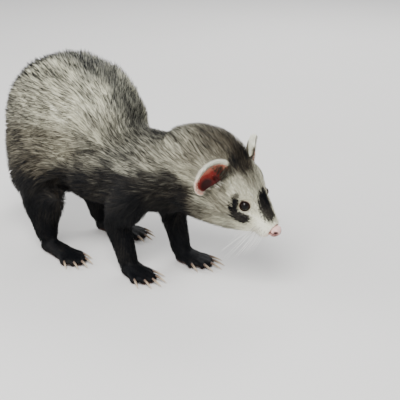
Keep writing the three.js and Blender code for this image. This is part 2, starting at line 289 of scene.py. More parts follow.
class Bundle:
    """Parts that are gathered into one object."""

    def __init__(self) -> None:
        """Starts with no parts."""
        self.verts: list[Array] = []
        self.tris: list[Array] = []
        self.places: list[Array] = []
        self.count = 0

    def add(self, verts: Array, tris: Array, places: Array | None = None) -> None:
        """Adds a part.

        Args:
            verts: Its vertices, in metres.
            tris: Its triangles.
            places: How far along the part each vertex is, where that is asked for.
        """
        self.verts.append(verts)
        self.tris.append(tris + self.count)
        if places is not None:
            self.places.append(places)
        self.count += len(verts)

    def make(self, name: str, channel: str | None = None) -> Piece:
        """Makes the object.

        Args:
            name: The object's name.
            channel: The name under which its material reads how far along a vertex is.

        Returns:
            The object.
        """
        made = make_mesh(name, np.concatenate(self.verts), np.concatenate(self.tris))
        if channel is not None:
            add_channels(made, channel, np.repeat(np.concatenate(self.places)[:, None], 4, axis=1))
        return made


@dataclass(frozen=True)
class Pose:
    """Where a feature is and how it is turned.

    Attributes:
        origin: Its middle, in metres.
        axes: Its axes, as rows of unit vectors.
    """

    origin: Array
    axes: Array

    @classmethod
    def of_head(cls) -> "Pose":
        """Finds the skull's centre and the head's axes from the eyes and the nose.

        Returns:
            The head's pose. Its axes are forward to the nose, to the left, and up through the crown.
        """
        left = node_centre("left_eye")
        right = node_centre("right_eye")
        middle = (left + right) / 2.0
        sideways = unit(left - right)
        ahead = unit(node_centre("nose") - middle)
        tilt = math.atan2(NOSE_BELOW, NOSE_AHEAD)
        forward = math.cos(tilt) * ahead + math.sin(tilt) * np.cross(ahead, sideways)
        up = np.cross(forward, sideways)
        axes = np.stack([forward, sideways, up])
        return cls(middle - EYES_MIDDLE * MM @ axes, axes)

    def local(self, points: Array) -> Array:
        """Turns metres in the frame into mm along the axes."""
        return (points - self.origin) @ self.axes.T / MM

    def place(self, local: Array) -> Array:
        """Turns mm along the axes into metres in the frame."""
        return self.origin + np.asarray(local, dtype=float) * MM @ self.axes

    def turn(self, local: Array) -> Array:
        """Turns a direction along the axes into one in the frame."""
        return np.asarray(local, dtype=float) @ self.axes


@dataclass(frozen=True)
class Station:
    """The coat at one place of the body.

    Attributes:
        place: The place in mm, in the drawing's or the head's axes.
        lie: The way the hair points there, or None where it fans out from the small of the back.
        loft: Height of the tips over the skin, in mm.
        length: Length of a tuft, in mm.
        width: Width of a tuft at its root, in mm.
        crowd: Tufts on a square millimetre.
        shade: Darkness of the hair, from cream to black.
        tips: How much darker the guard hairs' tips are.
        warmth: Brownness.
    """

    place: Triple
    lie: Triple | None
    loft: float
    length: float
    width: float
    crowd: float
    shade: float
    tips: float
    warmth: float = 0.3


MIDDLE_STATIONS = (
    Station((-36, 0, 171), None, 10.5, 18, 0.66, 1.6, 0.43, 0.85, 0.0),
    Station((-58, 0, 164), None, 10.5, 18, 0.66, 1.6, 0.38, 0.85, 0.05),
    Station((-12, 0, 164), None, 10.0, 17, 0.66, 1.6, 0.45, 0.70, 0.0),
    Station((2, 2, 158), None, 9.5, 16, 0.66, 1.6, 0.42, 0.65, 0.0),
    Station((18, 4, 143), None, 8.0, 14, 0.66, 1.6, 0.38, 0.62, 0.0),
    Station((26, 0, 128), (-0.4, 0, 0.9), 5.5, 11, 0.66, 1.6, 0.42, 0.55, 0.15),
    Station((-82, 0, 140), None, 9.0, 15, 0.7, 1.5, 0.44, 0.75, 0.15),
    Station((-100, 0, 112), (-0.7, 0, -0.6), 7.5, 14, 0.7, 1.4, 0.46, 0.50, 0.2),
    Station((50, 0, 117), (-1, 0, 0.15), 5.0, 11, 0.62, 1.7, 0.46, 0.45, 0.3),
    Station((78, 1, 121), (-0.9, 0, 0.4), 4.8, 10, 0.6, 1.7, 0.42, 0.48, 0.35),
    Station((98, 3, 129), (-0.75, -0.1, 0.62), 4.5, 9, 0.55, 1.9, 0.48, 0.48, 0.8),
    Station((45, 0, 52), (-1, 0, 0), 5.0, 10, 0.8, 1.2, 0.98, 0.05, 0.3),
    Station((10, 0, 48), (-1, 0, 0), 5.0, 10, 0.8, 1.2, 0.95, 0.05, 0.4),
    Station((-24, 0, 49), (-1, 0, 0), 5.0, 10, 0.8, 1.2, 0.92, 0.1, 0.4),
    Station((-50, 0, 60), (-1, 0, 0.1), 5.0, 10, 0.8, 1.2, 0.88, 0.1, 0.4),
    Station((80, 0, 57), (-1, 0, -0.1), 4.5, 9, 0.75, 1.3, 0.95, 0.05, 0.3),
    Station((106, 2, 53), (-1, 0, 0.05), 4.0, 8, 0.6, 1.6, 0.78, 0.1, 0.4),
    Station((127, 5, 52), (-1, 0, 0.1), 3.2, 7, 0.5, 2.0, 0.50, 0.2, 0.4),
    Station((143, 9, 50), (-0.9, 0, 0.4), 2.2, 5, 0.42, 2.6, 0.30, 0.15, 0.3),
    Station((-104, 1, 86), (-0.7, 0.1, -0.7), 6.0, 14, 0.75, 1.4, 0.72, 0.30, 0.35),
    Station((-118, 11, 72), (-0.6, 0.5, -0.6), 5.4, 14, 0.75, 1.4, 0.84, 0.2, 0.35),
    Station((-133, 28, 56), (-0.3, 0.8, -0.6), 5.0, 13, 0.75, 1.4, 0.90, 0.15, 0.35),
    Station((-139, 54, 40), (-0.05, 0.9, -0.4), 4.8, 13, 0.75, 1.4, 0.95, 0.1, 0.3),
    Station((-134, 80, 31), (0.25, 0.95, -0.2), 4.5, 13, 0.75, 1.5, 0.97, 0.05, 0.3),
)

PAIRED_STATIONS = (
    Station((-33, 19, 163), None, 9.5, 17, 0.66, 1.6, 0.26, 0.72, 0.15),
    Station((-58, 18, 158), None, 9.5, 17, 0.66, 1.6, 0.22, 0.72, 0.15),
    Station((-15, 37, 129), None, 6.0, 17, 0.66, 1.6, 0.19, 0.58, 0.35),
    Station((-48, 39, 123), None, 6.0, 17, 0.66, 1.6, 0.25, 0.58, 0.35),
    Station((-80, 32, 118), None, 6.5, 15, 0.68, 1.5, 0.34, 0.58, 0.5),
    Station((8, 24, 144), None, 7.0, 15, 0.66, 1.6, 0.26, 0.58, 0.15),
    Station((18, 28, 118), (-0.5, 0, 0.7), 5.0, 13, 0.64, 1.6, 0.34, 0.50, 0.45),
    Station((10, 31, 91), (-1, 0, 0.15), 4.8, 12, 0.68, 1.5, 0.54, 0.38, 0.5),
    Station((0, 31, 66), (-1, 0, -0.1), 4.8, 11, 0.75, 1.3, 0.90, 0.1, 0.3),
    Station((-25, 32, 62), (-1, 0, -0.1), 4.8, 11, 0.75, 1.3, 0.86, 0.15, 0.35),
    Station((-22, 38, 96), (-1, 0, 0.1), 5.0, 13, 0.68, 1.5, 0.32, 0.48, 0.85),
    Station((-50, 40, 94), (-1, 0, -0.15), 5.0, 13, 0.68, 1.5, 0.44, 0.45, 0.9),
    Station((-76, 30, 92), (-0.9, 0, -0.5), 5.5, 13, 0.7, 1.4, 0.58, 0.38, 0.9),
    Station((-50, 41, 76), (-0.8, 0, -0.6), 4.6, 12, 0.7, 1.4, 0.70, 0.30, 0.9),
    Station((-56, 38, 60), (-0.6, 0, -0.8), 4.0, 10, 0.7, 1.4, 0.92, 0.1, 0.4),
    Station((-45, 36, 48), (-0.2, 0, -1), 3.0, 7.5, 0.65, 1.6, 0.97, 0.1, 0.3),
    Station((-46, 32, 24), (-0.1, 0, -1), 1.6, 5, 0.6, 1.8, 0.98, 0.05, 0.3),
    Station((-30, 32, 12), (0.9, 0, -0.35), 0.7, 2.6, 0.45, 2.2, 0.96, 0.05, 0.3),
    Station((-16, 32, 6), (1, 0, -0.45), 0.5, 2.0, 0.4, 2.2, 0.96, 0.05, 0.3),
    Station((42, 30, 97), (-1, 0, 0.3), 4.8, 11, 0.62, 1.7, 0.45, 0.42, 0.3),
    Station((45, 33, 76), (-1, 0, 0.0), 4.8, 11, 0.7, 1.4, 0.92, 0.1, 0.2),
    Station((28, 31, 80), (-1, 0, 0.1), 4.8, 11, 0.7, 1.4, 0.82, 0.2, 0.2),
    Station((69, 25, 104), (-0.9, 0, 0.45), 4.6, 10, 0.6, 1.7, 0.42, 0.42, 0.5),
    Station((70, 33, 84), (-1, 0, 0.1), 4.4, 10, 0.62, 1.6, 0.77, 0.2, 0.3),
    Station((57, 36, 64), (-0.8, 0, -0.6), 3.8, 9, 0.7, 1.4, 0.97, 0.05, 0.1),
    Station((46, 30, 44), (-0.2, 0, -1), 2.4, 6.5, 0.65, 1.6, 0.98, 0.05, 0.1),
    Station((48, 26, 22), (-0.05, 0, -1), 1.3, 4.5, 0.55, 1.9, 0.98, 0.05, 0.1),
    Station((58, 25, 11), (0.9, 0, -0.35), 0.7, 2.5, 0.45, 2.2, 0.98, 0.05, 0.1),
    Station((72, 25, 6), (1, 0, -0.45), 0.5, 2.0, 0.4, 2.2, 0.98, 0.05, 0.1),
    Station((87, 21, 113), (-0.8, 0, 0.6), 4.4, 9, 0.55, 1.9, 0.34, 0.46, 0.55),
    Station((104, 19, 115), (-0.72, 0, 0.66), 4.2, 8.5, 0.52, 2.0, 0.46, 0.46, 0.8),
    Station((100, 26, 98), (-0.9, 0, 0.35), 4.2, 8.5, 0.55, 1.9, 0.24, 0.34, 0.7),
    Station((90, 26, 88), (-1, 0, 0.15), 4.2, 8.5, 0.6, 1.7, 0.72, 0.25, 0.35),
    Station((97, 25, 78), (-1, 0, 0.1), 4.2, 8.5, 0.6, 1.7, 0.88, 0.1, 0.7),
    Station((93, 20, 64), (-1, 0, 0.05), 4.2, 8.5, 0.6, 1.7, 0.92, 0.05, 0.35),
    Station((108, 21, 68), (-1, 0, 0.15), 3.8, 8, 0.5, 2.0, 0.60, 0.3, 0.7),
    Station((119, 18, 67), (-1, 0, 0.2), 3.2, 7, 0.46, 2.3, 0.40, 0.32, 0.7),
    Station((130, 13, 60), (-1, 0, 0.25), 2.6, 6, 0.42, 2.6, 0.34, 0.25, 0.35),
    Station((114, 20, 80), (-1, 0, 0.3), 3.4, 7.5, 0.46, 2.2, 0.34, 0.35, 0.6),
)

HEAD_MIDDLE_STATIONS = (
    Station((-16, 0, 17), (-1, 0, 0.1), 3.6, 8.5, 0.52, 2.0, 0.48, 0.40, 1.0),
    Station((2, 0, 18.5), (-1, 0, 0.05), 2.5, 6.5, 0.44, 2.7, 0.52, 0.35, 1.0),
    Station((18, 0, 13.5), (-1, 0, 0.2), 1.7, 4.5, 0.36, 3.8, 0.26, 0.45, 0.7),
    Station((34, 0, 8), (-1, 0, 0.3), 1.0, 2.8, 0.32, 5.0, 0.32, 0.20, 0.3),
    Station((49, 0, 2.5), (-1, 0, 0.3), 0.7, 2.0, 0.28, 5.0, 0.22, 0.10, 0.3),
    Station((48, 0, -17), (-1, 0, -0.1), 0.8, 2.2, 0.3, 4.5, 0.04, 0.05, 0.2),
    Station((25, 0, -18), (-1, 0, -0.1), 1.8, 4.5, 0.4, 2.6, 0.22, 0.15, 0.3),
    Station((0, 0, -22), (-1, 0, 0), 2.8, 7, 0.55, 1.9, 0.50, 0.2, 0.35),
)

HEAD_PAIRED_STATIONS = (
    Station((14, 15, 9), (-1, 0.25, 0.15), 1.7, 4.5, 0.36, 3.6, 0.22, 0.42, 0.6),
    Station((27, 9, 9), (-1, 0.2, 0.25), 1.2, 3.2, 0.32, 4.6, 0.20, 0.35, 0.5),
    Station((8, 21, -4), (-1, 0.25, -0.05), 2.6, 6.5, 0.42, 2.7, 0.42, 0.35, 0.8),
    Station((18, 20, -10), (-1, 0.25, -0.15), 2.0, 5.2, 0.38, 3.0, 0.42, 0.35, 0.8),
    Station((-10, 18, -8), (-1, 0.1, 0.0), 3.2, 8, 0.5, 2.1, 0.30, 0.36, 0.8),
    Station((26, 15, -14), (-1, 0.15, -0.2), 1.7, 4.2, 0.36, 3.2, 0.30, 0.25, 0.6),
    Station((35, 14, -8), (-1, 0.3, -0.2), 1.0, 2.8, 0.30, 4.8, 0.14, 0.15, 0.25),
    Station((48, 8.5, -5), (-0.9, 0.35, -0.3), 0.65, 1.9, 0.26, 5.5, 0.03, 0.05, 0.1),
    Station((44, 9, -13), (-0.9, 0.25, -0.4), 0.7, 2.2, 0.28, 5.0, 0.04, 0.05, 0.15),
)


@dataclass(frozen=True)
class Patch:
    """A marking with a ragged edge along a path over the face.

    Attributes:
        path: Its middle line, in mm along the head's axes.
        reach: How far it goes to each side of the line, in mm.
        shade: What it adds to the coat's darkness.
        tips: What it adds to the darkness of the tips.
        paired: Whether both sides have it.
    """

    path: tuple[Triple, ...]
    reach: float
    shade: float
    tips: float = 0.0
    paired: bool = True


HEAD_PATCHES = (
    Patch(((-26, 0, 17), (-12, 0, 20.5), (1, 0, 19)), 17.0, 0.13),
    Patch(((-16, 1, 20.5), (-4, 0, 20), (5, 0, 18)), 8.5, 0.15, -0.1),
    Patch(((0, 9, 19), (4, 12, 16)), 4.5, 0.14),
    Patch(((13, 0, 15), (26, 0, 11)), 7.5, 0.08),
    # Darker fur at the ear's lower front: partly dark hair, partly painted shade under the ear.
    Patch(((5, 27, -2), (8, 22.5, 5.5)), 4.2, 0.2),
    Patch(((29.5, 6, 8.9), (33, 4, 8.3)), 3.2, 0.46, -0.1, False),
    Patch(((35.5, 1, 7.9), (39, 0.3, 6.6), (42.5, -0.3, 5.2), (45, -0.8, 4)), 6.8, 0.56, -0.2, False),
    Patch(((20.5, 17.8, 6.2), (22.5, 19.3, 3.2)), 2.8, 0.40),
    Patch(
        ((24.2, 20.3, 1.0), (26, 21.3, -1.8), (29.8, 21, -4.6), (34.6, 18.9, -4.6), (37, 17, -4)), 3.9, 0.63
    ),
    Patch(((31.5, 15.5, 6.5), (35.5, 14.5, 2.5), (37.5, 15.2, -0.6)), 1.9, -0.14),
    Patch(((44, 0, -12), (58, 0, -7)), 9.5, -0.18, -0.2),
)


@dataclass
class Markings:
    """The coat's lie, depth and colours all over the body, read by the skin and the tufts alike.

    Attributes:
        head: The head's pose.
        fan_root: Where the hair of the arched back fans out from, in the drawing's mm.
        stripe: The dark line along the back, in the drawing's mm.
        stripe_half: Half the stripe's width, in mm.
        stripe_shade: What the stripe adds to the darkness.
        fade: The power by which a station's say falls with distance.
        near: The distance, in mm, under which it grows no more.
        places: The stations' places, in the frame's mm.
        lies: The way the hair points at them.
        values: Their loft, length, width, crowd, shade, tips and warmth.
    """

    head: Pose
    fan_root: Triple = (26.0, 0.0, 104.0)
    stripe: tuple[Triple, ...] = (
        (60, 2, 118), (40, 1, 116), (27, 2, 128), (18, 3, 143), (4, 3, 157), (-16, 2, 167),
        (-42, 1, 171), (-70, 0, 157), (-104, 1, 92),
    )
    stripe_half: float = 14.0
    stripe_shade: float = 0.18
    fade: float = 2.4
    near: float = 4.0
    places: Array = field(init=False)
    lies: Array = field(init=False)
    values: Array = field(init=False)

    def __post_init__(self) -> None:
        """Gathers the stations of both sides into arrays, in the frame."""
        middle = Side.LEFT.value
        rows = [self._body_row(station, middle) for station in MIDDLE_STATIONS]
        rows += [self._body_row(station, side.value) for station in PAIRED_STATIONS for side in Side]
        rows += [self._head_row(station, middle) for station in HEAD_MIDDLE_STATIONS]
        rows += [self._head_row(station, side.value) for station in HEAD_PAIRED_STATIONS for side in Side]
        self.places = np.array([place for place, _, _ in rows])
        self.lies = unit(np.array([lie for _, lie, _ in rows]))
        self.values = np.array(
            [(s.loft, s.length, s.width, s.crowd, s.shade, s.tips, s.warmth) for _, _, s in rows]
        )

    def _body_row(self, station: Station, side: float) -> tuple[Array, Array, Station]:
        """Puts a body station in the frame, in mm, on the side asked for."""
        place = mirrored(station.place, side)
        lie = place - np.array(self.fan_root) if station.lie is None else mirrored(station.lie, side)
        return place + DRAWING_SHIFT, lie, station

    def _head_row(self, station: Station, side: float) -> tuple[Array, Array, Station]:
        """Puts a head station in the frame, in mm, on the side asked for."""
        place = self.head.place(mirrored(station.place, side)) / MM
        return place, self.head.turn(mirrored(station.lie, side)), station

    def survey(self, points: Array) -> tuple[Array, Array]:
        """Blends the stations at points of the body.

        Args:
            points: The points, in metres.

        Returns:
            The way the hair points, and loft, length, width, crowd, shade, tips and warmth in columns.
        """
        spots = points / MM
        gap = (spots**2).sum(1)[:, None] + (self.places**2).sum(1)[None] - 2.0 * spots @ self.places.T
        say = np.maximum(gap, self.near**2) ** -self.fade
        say /= say.sum(axis=1, keepdims=True)
        return unit(say @ self.lies), say @ self.values

    def tone(self, points: Array, values: Array) -> Array:
        """Works out the colours' numbers with the stripe and the face's patches.

        Args:
            points: The points, in metres.
            values: What survey() gives for them.

        Returns:
            Shade, tips, warmth and blush, in columns.
        """
        spots = points / MM
        shade, tips, warmth = values[:, CROWD + 1 :].T.copy()
        line = np.array(self.stripe, dtype=float) + DRAWING_SHIFT
        away = polyline_distance(spots, line) + 1.2 * waves(spots, 14.0, 3)
        on_stripe = np.exp(-((away / self.stripe_half) ** 2))
        shade += self.stripe_shade * on_stripe
        local = self.head.local(points)
        folded = np.column_stack([local[:, 0], np.abs(local[:, 1]), local[:, 2]])
        ragged = 0.10 * waves(spots, 4.0, 5) + 0.22 * waves(spots, 1.5, 6)
        for patch in HEAD_PATCHES:
            seen = folded if patch.paired else local
            reach = polyline_distance(seen, np.array(patch.path, dtype=float)) / patch.reach
            inside = ease(1.25, 0.75, reach + ragged)
            shade += patch.shade * inside
            tips += patch.tips * inside
        shade += 0.05 * waves(spots, 16.0, 7)
        blush = ease(1.5, 0.8, np.linalg.norm((local - [60.0, 0.0, -7.0]) / [7.0, 8.0, 7.0], axis=1))
        return np.clip(np.stack([shade, tips, warmth, blush], axis=1), 0.0, 1.0)


class Wire:
    """A socket's value, with shader maths written as Python expressions."""

    def __init__(self, board: "Board", socket: bpy.types.NodeSocket) -> None:
        """Keeps the socket and the board whose nodes the maths adds to."""
        self.board = board
        self.socket = socket

    def __add__(self, other: "Wire | float") -> "Wire":
        """Adds."""
        return self.board.math("ADD", self, other)

    def __radd__(self, other: float) -> "Wire":
        """Adds, with the number first."""
        return self.board.math("ADD", other, self)

    def __sub__(self, other: "Wire | float") -> "Wire":
        """Subtracts."""
        return self.board.math("SUBTRACT", self, other)

    def __rsub__(self, other: float) -> "Wire":
        """Subtracts from a number."""
        return self.board.math("SUBTRACT", other, self)

    def __mul__(self, other: "Wire | float") -> "Wire":
        """Multiplies."""
        return self.board.math("MULTIPLY", self, other)

    def __rmul__(self, other: float) -> "Wire":
        """Multiplies, with the number first."""
        return self.board.math("MULTIPLY", other, self)

    def __pow__(self, other: "Wire | float") -> "Wire":
        """Raises to a power."""
        return self.board.math("POWER", self, other)

    def step(self, low: float, high: float) -> "Wire":
        """Rises smoothly from 0 at low to 1 at high, or falls where high is below low."""
        limits = {"Value": self, "From Min": low, "From Max": high}
        made = self.board.node("ShaderNodeMapRange", {"interpolation_type": "SMOOTHSTEP"}, limits)
        return Wire(self.board, made.outputs["Result"])


class Board:
    """One material's node tree."""

    def __init__(self, name: str) -> None:
        """Starts an empty material."""
        self.material = bpy.data.materials.new(name)
        self.material.use_nodes = True
        self.tree = self.material.node_tree
        self.tree.nodes.clear()

    def node(
        self,
        kind: str,
        settings: dict[str, object] | None = None,
        inputs: dict[str | int, object] | None = None,
    ) -> bpy.types.Node:
        """Adds a node.

        Args:
            kind: The node's type.
            settings: Its own settings, set first. "stops" are a ramp's, as position and colour.
            inputs: Values or wires for its sockets, by name or index.

        Returns:
            The node.
        """
        made = self.tree.nodes.new(kind)
        for key, value in (settings or {}).items():
            if key == "stops":
                self._set_stops(made, value)
            else:
                setattr(made, key, value)
        for key, value in (inputs or {}).items():
            if isinstance(value, Wire):
                self.tree.links.new(value.socket, made.inputs[key])
            else:
                made.inputs[key].default_value = value
        return made

    @staticmethod
    def _set_stops(ramp: bpy.types.Node, stops: list[tuple[float, tuple]]) -> None:
        """Gives a colour ramp its stops.

        Args:
            ramp: The ramp.
            stops: Positions with their colours.
        """
        elements = ramp.color_ramp.elements
        while len(elements) < len(stops):
            elements.new(0.5)
        for element, (position, colour) in zip(elements, stops):
            element.position = position
            element.color = colour

    def math(self, operation: str, *values: "Wire | float") -> Wire:
        """Adds a Math node and gives its result."""
        made = self.node("ShaderNodeMath", {"operation": operation}, dict(enumerate(values)))
        return Wire(self, made.outputs[0])

    def mix(self, share: "Wire | float", first: object, second: object) -> Wire:
        """Mixes two colours by a share."""
        made = self.node("ShaderNodeMix", {"data_type": "RGBA"}, {0: share, 6: first, 7: second})
        return Wire(self, made.outputs[2])

    def channels(self, name: str) -> tuple[Wire, Wire, Wire, Wire]:
        """Reads the four numbers stored on the mesh under a name."""
        read = self.node("ShaderNodeAttribute", {"attribute_name": name})
        split = self.node("ShaderNodeSeparateColor", None, {0: Wire(self, read.outputs["Color"])})
        parts = [Wire(self, split.outputs[index]) for index in range(3)]
        return parts[0], parts[1], parts[2], Wire(self, read.outputs["Alpha"])

    def noise(self, scale: float, detail: float, stretch: Triple | None = None) -> Wire:
        """Adds noise in the object's own space.

        Args:
            scale: Its waves to the metre.
            detail: How many finer layers it has.
            stretch: What the place is multiplied by first, along each axis.

        Returns:
            The noise, about 0.5.
        """
        place = self.node("ShaderNodeTexCoord")
        where = Wire(self, place.outputs["Object"])
        if stretch is not None:
            scaled = self.node("ShaderNodeVectorMath", {"operation": "MULTIPLY"}, {0: where, 1: stretch})
            where = Wire(self, scaled.outputs[0])
        made = self.node("ShaderNodeTexNoise", None, {"Vector": where, "Scale": scale, "Detail": detail})
        return Wire(self, made.outputs[0])

    def bump(self, height: Wire, distance: float, strength: float) -> Wire:
        """A bump of a height in metres."""
        inputs = {"Strength": strength, "Distance": distance, "Height": height}
        return Wire(self, self.node("ShaderNodeBump", None, inputs).outputs[0])

    def surface(
        self, base: Wire, roughness: Wire | float, others: dict[str, object] | None = None
    ) -> bpy.types.Material:
        """Ends the material in a Principled shader.

        Args:
            base: Its colour.
            roughness: Its roughness.
            others: What its other sockets hold.

        Returns:
            The material.
        """
        inputs = {"Base Color": base, "Roughness": roughness, **(others or {})}
        shader = self.node("ShaderNodeBsdfPrincipled", None, inputs)
        self.node("ShaderNodeOutputMaterial", None, {"Surface": Wire(self, shader.outputs[0])})
        return self.material


@dataclass(frozen=True)
class PeltColours:
    """The colours of the coat, from cream to black, that the skin and the tufts share.

    Attributes:
        stops: Positions on the scale of darkness, with their colours of 0 to 255.
        brown: The tint of the browner parts.
        pink: The flush of the skin at the muzzle.
    """

    stops: tuple[tuple[float, Colour], ...] = (
        (0.0, (248, 247, 229)),
        (0.2, (217, 214, 187)),
        (0.4, (159, 158, 141)),
        (0.6, (94, 94, 86)),
        (0.8, (35, 33, 31)),
        (1.0, (2, 3, 6)),
    )
    brown: Colour = (102, 86, 56)
    pink: Colour = (236, 190, 182)

    def colour(self, board: Board, darkness: Wire, warmth: Wire, blush: Wire) -> Wire:
        """Turns darkness, warmth and blush into a colour.

        Args:
            board: The material's board.
            darkness: From 0, cream, to 1, black.
            warmth: How brown it is.
            blush: How much the pink skin shows through.

        Returns:
            The colour.
        """
        stops = [(position, linear(*colour)) for position, colour in self.stops]
        ramp = board.node("ShaderNodeValToRGB", {"stops": stops}, {0: darkness})
        base = Wire(board, ramp.outputs[0])
        middle = darkness * (1.0 - darkness) ** 1.5 * 5.4
        browned = board.mix(warmth * middle * 0.42, base, linear(*self.brown))
        return board.mix(blush * 0.35, browned, linear(*self.pink))


@dataclass(frozen=True)
class CoatFinish:
    """The finish of the tufts.

    Attributes:
        colours: The coat's colours.
        roughness: The hair's roughness.
        strand_spread: How much the darkness varies from tuft to tuft.
        lock_spread: How much it varies from one line of tufts to another.
    """

    colours: PeltColours = PeltColours()
    roughness: float = 0.5
    strand_spread: float = 0.2
    lock_spread: float = 0.22

    def material(self) -> bpy.types.Material:
        """Makes the tufts' material, darker towards the guard hairs' tips.

        Returns:
            The material.
        """
        board = Board("coat_hair")
        shade, tips, warmth, blush = board.channels("tone")
        along, strand, guard, lock = board.channels("hair")
        tipped = along.step(0.22, 0.85) * tips * guard
        under = along.step(0.2, 1.0) * (1.0 - guard) * tips * 0.10
        grain = (board.noise(900.0, 2.0) - 0.5) * 0.08
        strands = (strand - 0.5) * self.strand_spread + (lock - 0.5) * self.lock_spread
        darkness = shade + tipped + under + grain + strands * (1.0 - shade * 0.45)
        base = self.colours.colour(board, darkness, warmth, blush)
        return board.surface(base, self.roughness, {"Specular IOR Level": 0.12})


@dataclass(frozen=True)
class SkinFinish:
    """The finish of the skin under the coat and of its bare parts.

    Attributes:
        colours: The coat's colours.
        flesh: The bare skin's colour where it is pale.
        red: Its colour where it is red.
        dark: Its darkest colour, at the lids' rims, along the lips and on the soles, and as painted shade in
            the ears' hollows and low inside them.
    """

    colours: PeltColours = PeltColours()
    flesh: Colour = (214, 138, 112)
    red: Colour = (118, 28, 22)
    dark: Colour = (16, 4, 4)

    def material(self) -> bpy.types.Material:
        """Makes the skin's material, with fine short hair in its bump.

        Returns:
            The material.
        """
        board = Board("skin_under_coat")
        shade, tips, warmth, blush = board.channels("tone")
        bare, redness, depth, _ = board.channels("bare")
        streak = board.noise(1400.0, 4.0, (0.4, 1.0, 0.6))
        darkness = shade + tips * 0.15 + (streak - 0.5) * 0.22 + 0.05
        furry = self.colours.colour(board, darkness, warmth, blush)
        mottle = board.noise(420.0, 5.0)
        rosy = board.mix(redness + (mottle - 0.5) * 0.3, linear(*self.flesh), linear(*self.red))
        # The bare skin's third channel mixes in the dark colour: the lids' own dark rims, and painted shade
        # in the ears' hollows and low inside them.
        hollow = board.mix(depth, rosy, linear(*self.dark))
        base = board.mix(bare, furry, hollow)
        pores = board.noise(2200.0, 3.0)
        height = streak * (1.0 - bare) + pores * bare * 0.5
        relief = board.bump(height, 0.0004, 0.5)
        return board.surface(base, 0.62 - bare * 0.2, {"Specular IOR Level": 0.14, "Normal": relief})


@dataclass(frozen=True)
class EyeFinish:
    """The finish of the wet dark eye.

    Attributes:
        iris: The iris's colour.
        edge: The colour round it and of the pupil.
    """

    iris: Colour = (20, 12, 9)
    edge: Colour = (4, 3, 4)

    def material(self) -> bpy.types.Material:
        """Makes the eye's material: a faint brown iris in a black ball under a wet coat.

        Returns:
            The material.
        """
        board = Board("eye_wet")
        turn, _, _, _ = board.channels("gaze")
        rays = (board.noise(1500.0, 4.0) - 0.5) * 0.12
        ring = turn.step(0.22, 0.34) * (1.0 - (turn + rays).step(0.55, 0.72))
        base = board.mix(ring, linear(*self.edge), linear(*self.iris))
        wet = {"IOR": 1.3, "Specular IOR Level": 0.12, "Coat Weight": 0.2, "Coat Roughness": 0.03}
        return board.surface(base, 0.08, wet)


@dataclass(frozen=True)
class NoseFinish:
    """The finish of the damp nose leather.

    Attributes:
        pink: The leather's colour.
        pale: Its colour on top.
        brown: Its colour in and under the nostrils: painted shade in the nostrils, their slits and the
            groove, and a darker lower front of the pad.
    """

    pink: Colour = (232, 176, 166)
    pale: Colour = (242, 205, 196)
    brown: Colour = (58, 20, 20)

    def material(self) -> bpy.types.Material:
        """Makes the nose's material: pebbled pink leather with brown nostrils, whose brown is painted shade.

        Returns:
            The material.
        """
        board = Board("nose_leather")
        pit, top, _, _ = board.channels("pad")
        mottle = board.noise(700.0, 4.0)
        leather = board.mix(top * 0.6 + (mottle - 0.5) * 0.5, linear(*self.pink), linear(*self.pale))
        # The pad's first channel is painted shade in the nostrils, slits and groove, and a darker lower
        # front.
        base = board.mix(pit, leather, linear(*self.brown))
        cells = board.node("ShaderNodeTexVoronoi", {"feature": "DISTANCE_TO_EDGE"}, {"Scale": 2600.0})
        pebbles = Wire(board, cells.outputs[0]).step(0.0, 0.25)
        relief = board.bump(pebbles, 0.00012, 0.6)
        return board.surface(base, 0.36 + pit * 0.1, {"Specular IOR Level": 0.45, "Normal": relief})


@dataclass(frozen=True)
class ClawFinish:
    """The finish of the horn of the claws.

    Attributes:
        horn: The horn's colour.
        root: Its colour at the root.
    """

    horn: Colour = (196, 176, 148)
    root: Colour = (96, 78, 66)

    def material(self) -> bpy.types.Material:
        """Makes the claws' material: pale grained horn, darker at the root.

        Returns:
            The material.
        """
        board = Board("claw_horn")
        along, _, _, _ = board.channels("claw")
        grain = board.noise(1800.0, 4.0, (1.0, 1.0, 0.3))
        share = along.step(0.05, 0.7) * 0.85 + (grain - 0.5) * 0.3
        base = board.mix(share, linear(*self.root), linear(*self.horn))
        return board.surface(base, 0.3 + grain * 0.15, {"Normal": board.bump(grain, 0.0001, 0.4)})


@dataclass(frozen=True)
class WhiskerFinish:
    """The finish of the whiskers.

    Attributes:
        root: Their colour at the root.
        tip: Their colour at the tip.
    """

    root: Colour = (150, 138, 126)
    tip: Colour = (244, 242, 236)

    def material(self) -> bpy.types.Material:
        """Makes the whiskers' material, paler towards the tip.

        Returns:
            The material.
        """
        board = Board("whisker_hair")
        along, _, _, _ = board.channels("whisker")
        grain = (board.noise(1200.0, 2.0) - 0.5) * 0.2
        base = board.mix(along.step(0.0, 0.4) + grain, linear(*self.root), linear(*self.tip))
        return board.surface(base, 0.34 + grain * 0.2)


@dataclass
class Pelt:
    """A piece of skin with what grows on it, vertex by vertex.

    Attributes:
        verts: Vertices, in metres.
        tris: Triangles.
        lie: The way the hair points.
        growth: Loft, length, width and crowd, in mm and tufts on a square mm.
        tone: Shade, tips, warmth and blush.
        bare: How bare the skin is, how red, and how dark with its own dark colour and with painted shade in
            the ears' hollows, and a column of zeros that fills the colour.
    """

    verts: Array
    tris: Array
    lie: Array
    growth: Array
    tone: Array
    bare: Array

    @classmethod
    def joined(cls, pelts: list["Pelt"]) -> "Pelt":
        """Puts several pieces of skin into one.

        Args:
            pelts: The pieces.

        Returns:
            The whole.
        """
        starts = np.cumsum([0] + [len(pelt.verts) for pelt in pelts[:-1]])
        tris = np.concatenate([pelt.tris + start for pelt, start in zip(pelts, starts)])
        stacks = [
            np.concatenate([getattr(pelt, name) for pelt in pelts])
            for name in ("verts", "lie", "growth", "tone", "bare")
        ]
        return cls(stacks[0], tris, *stacks[1:])


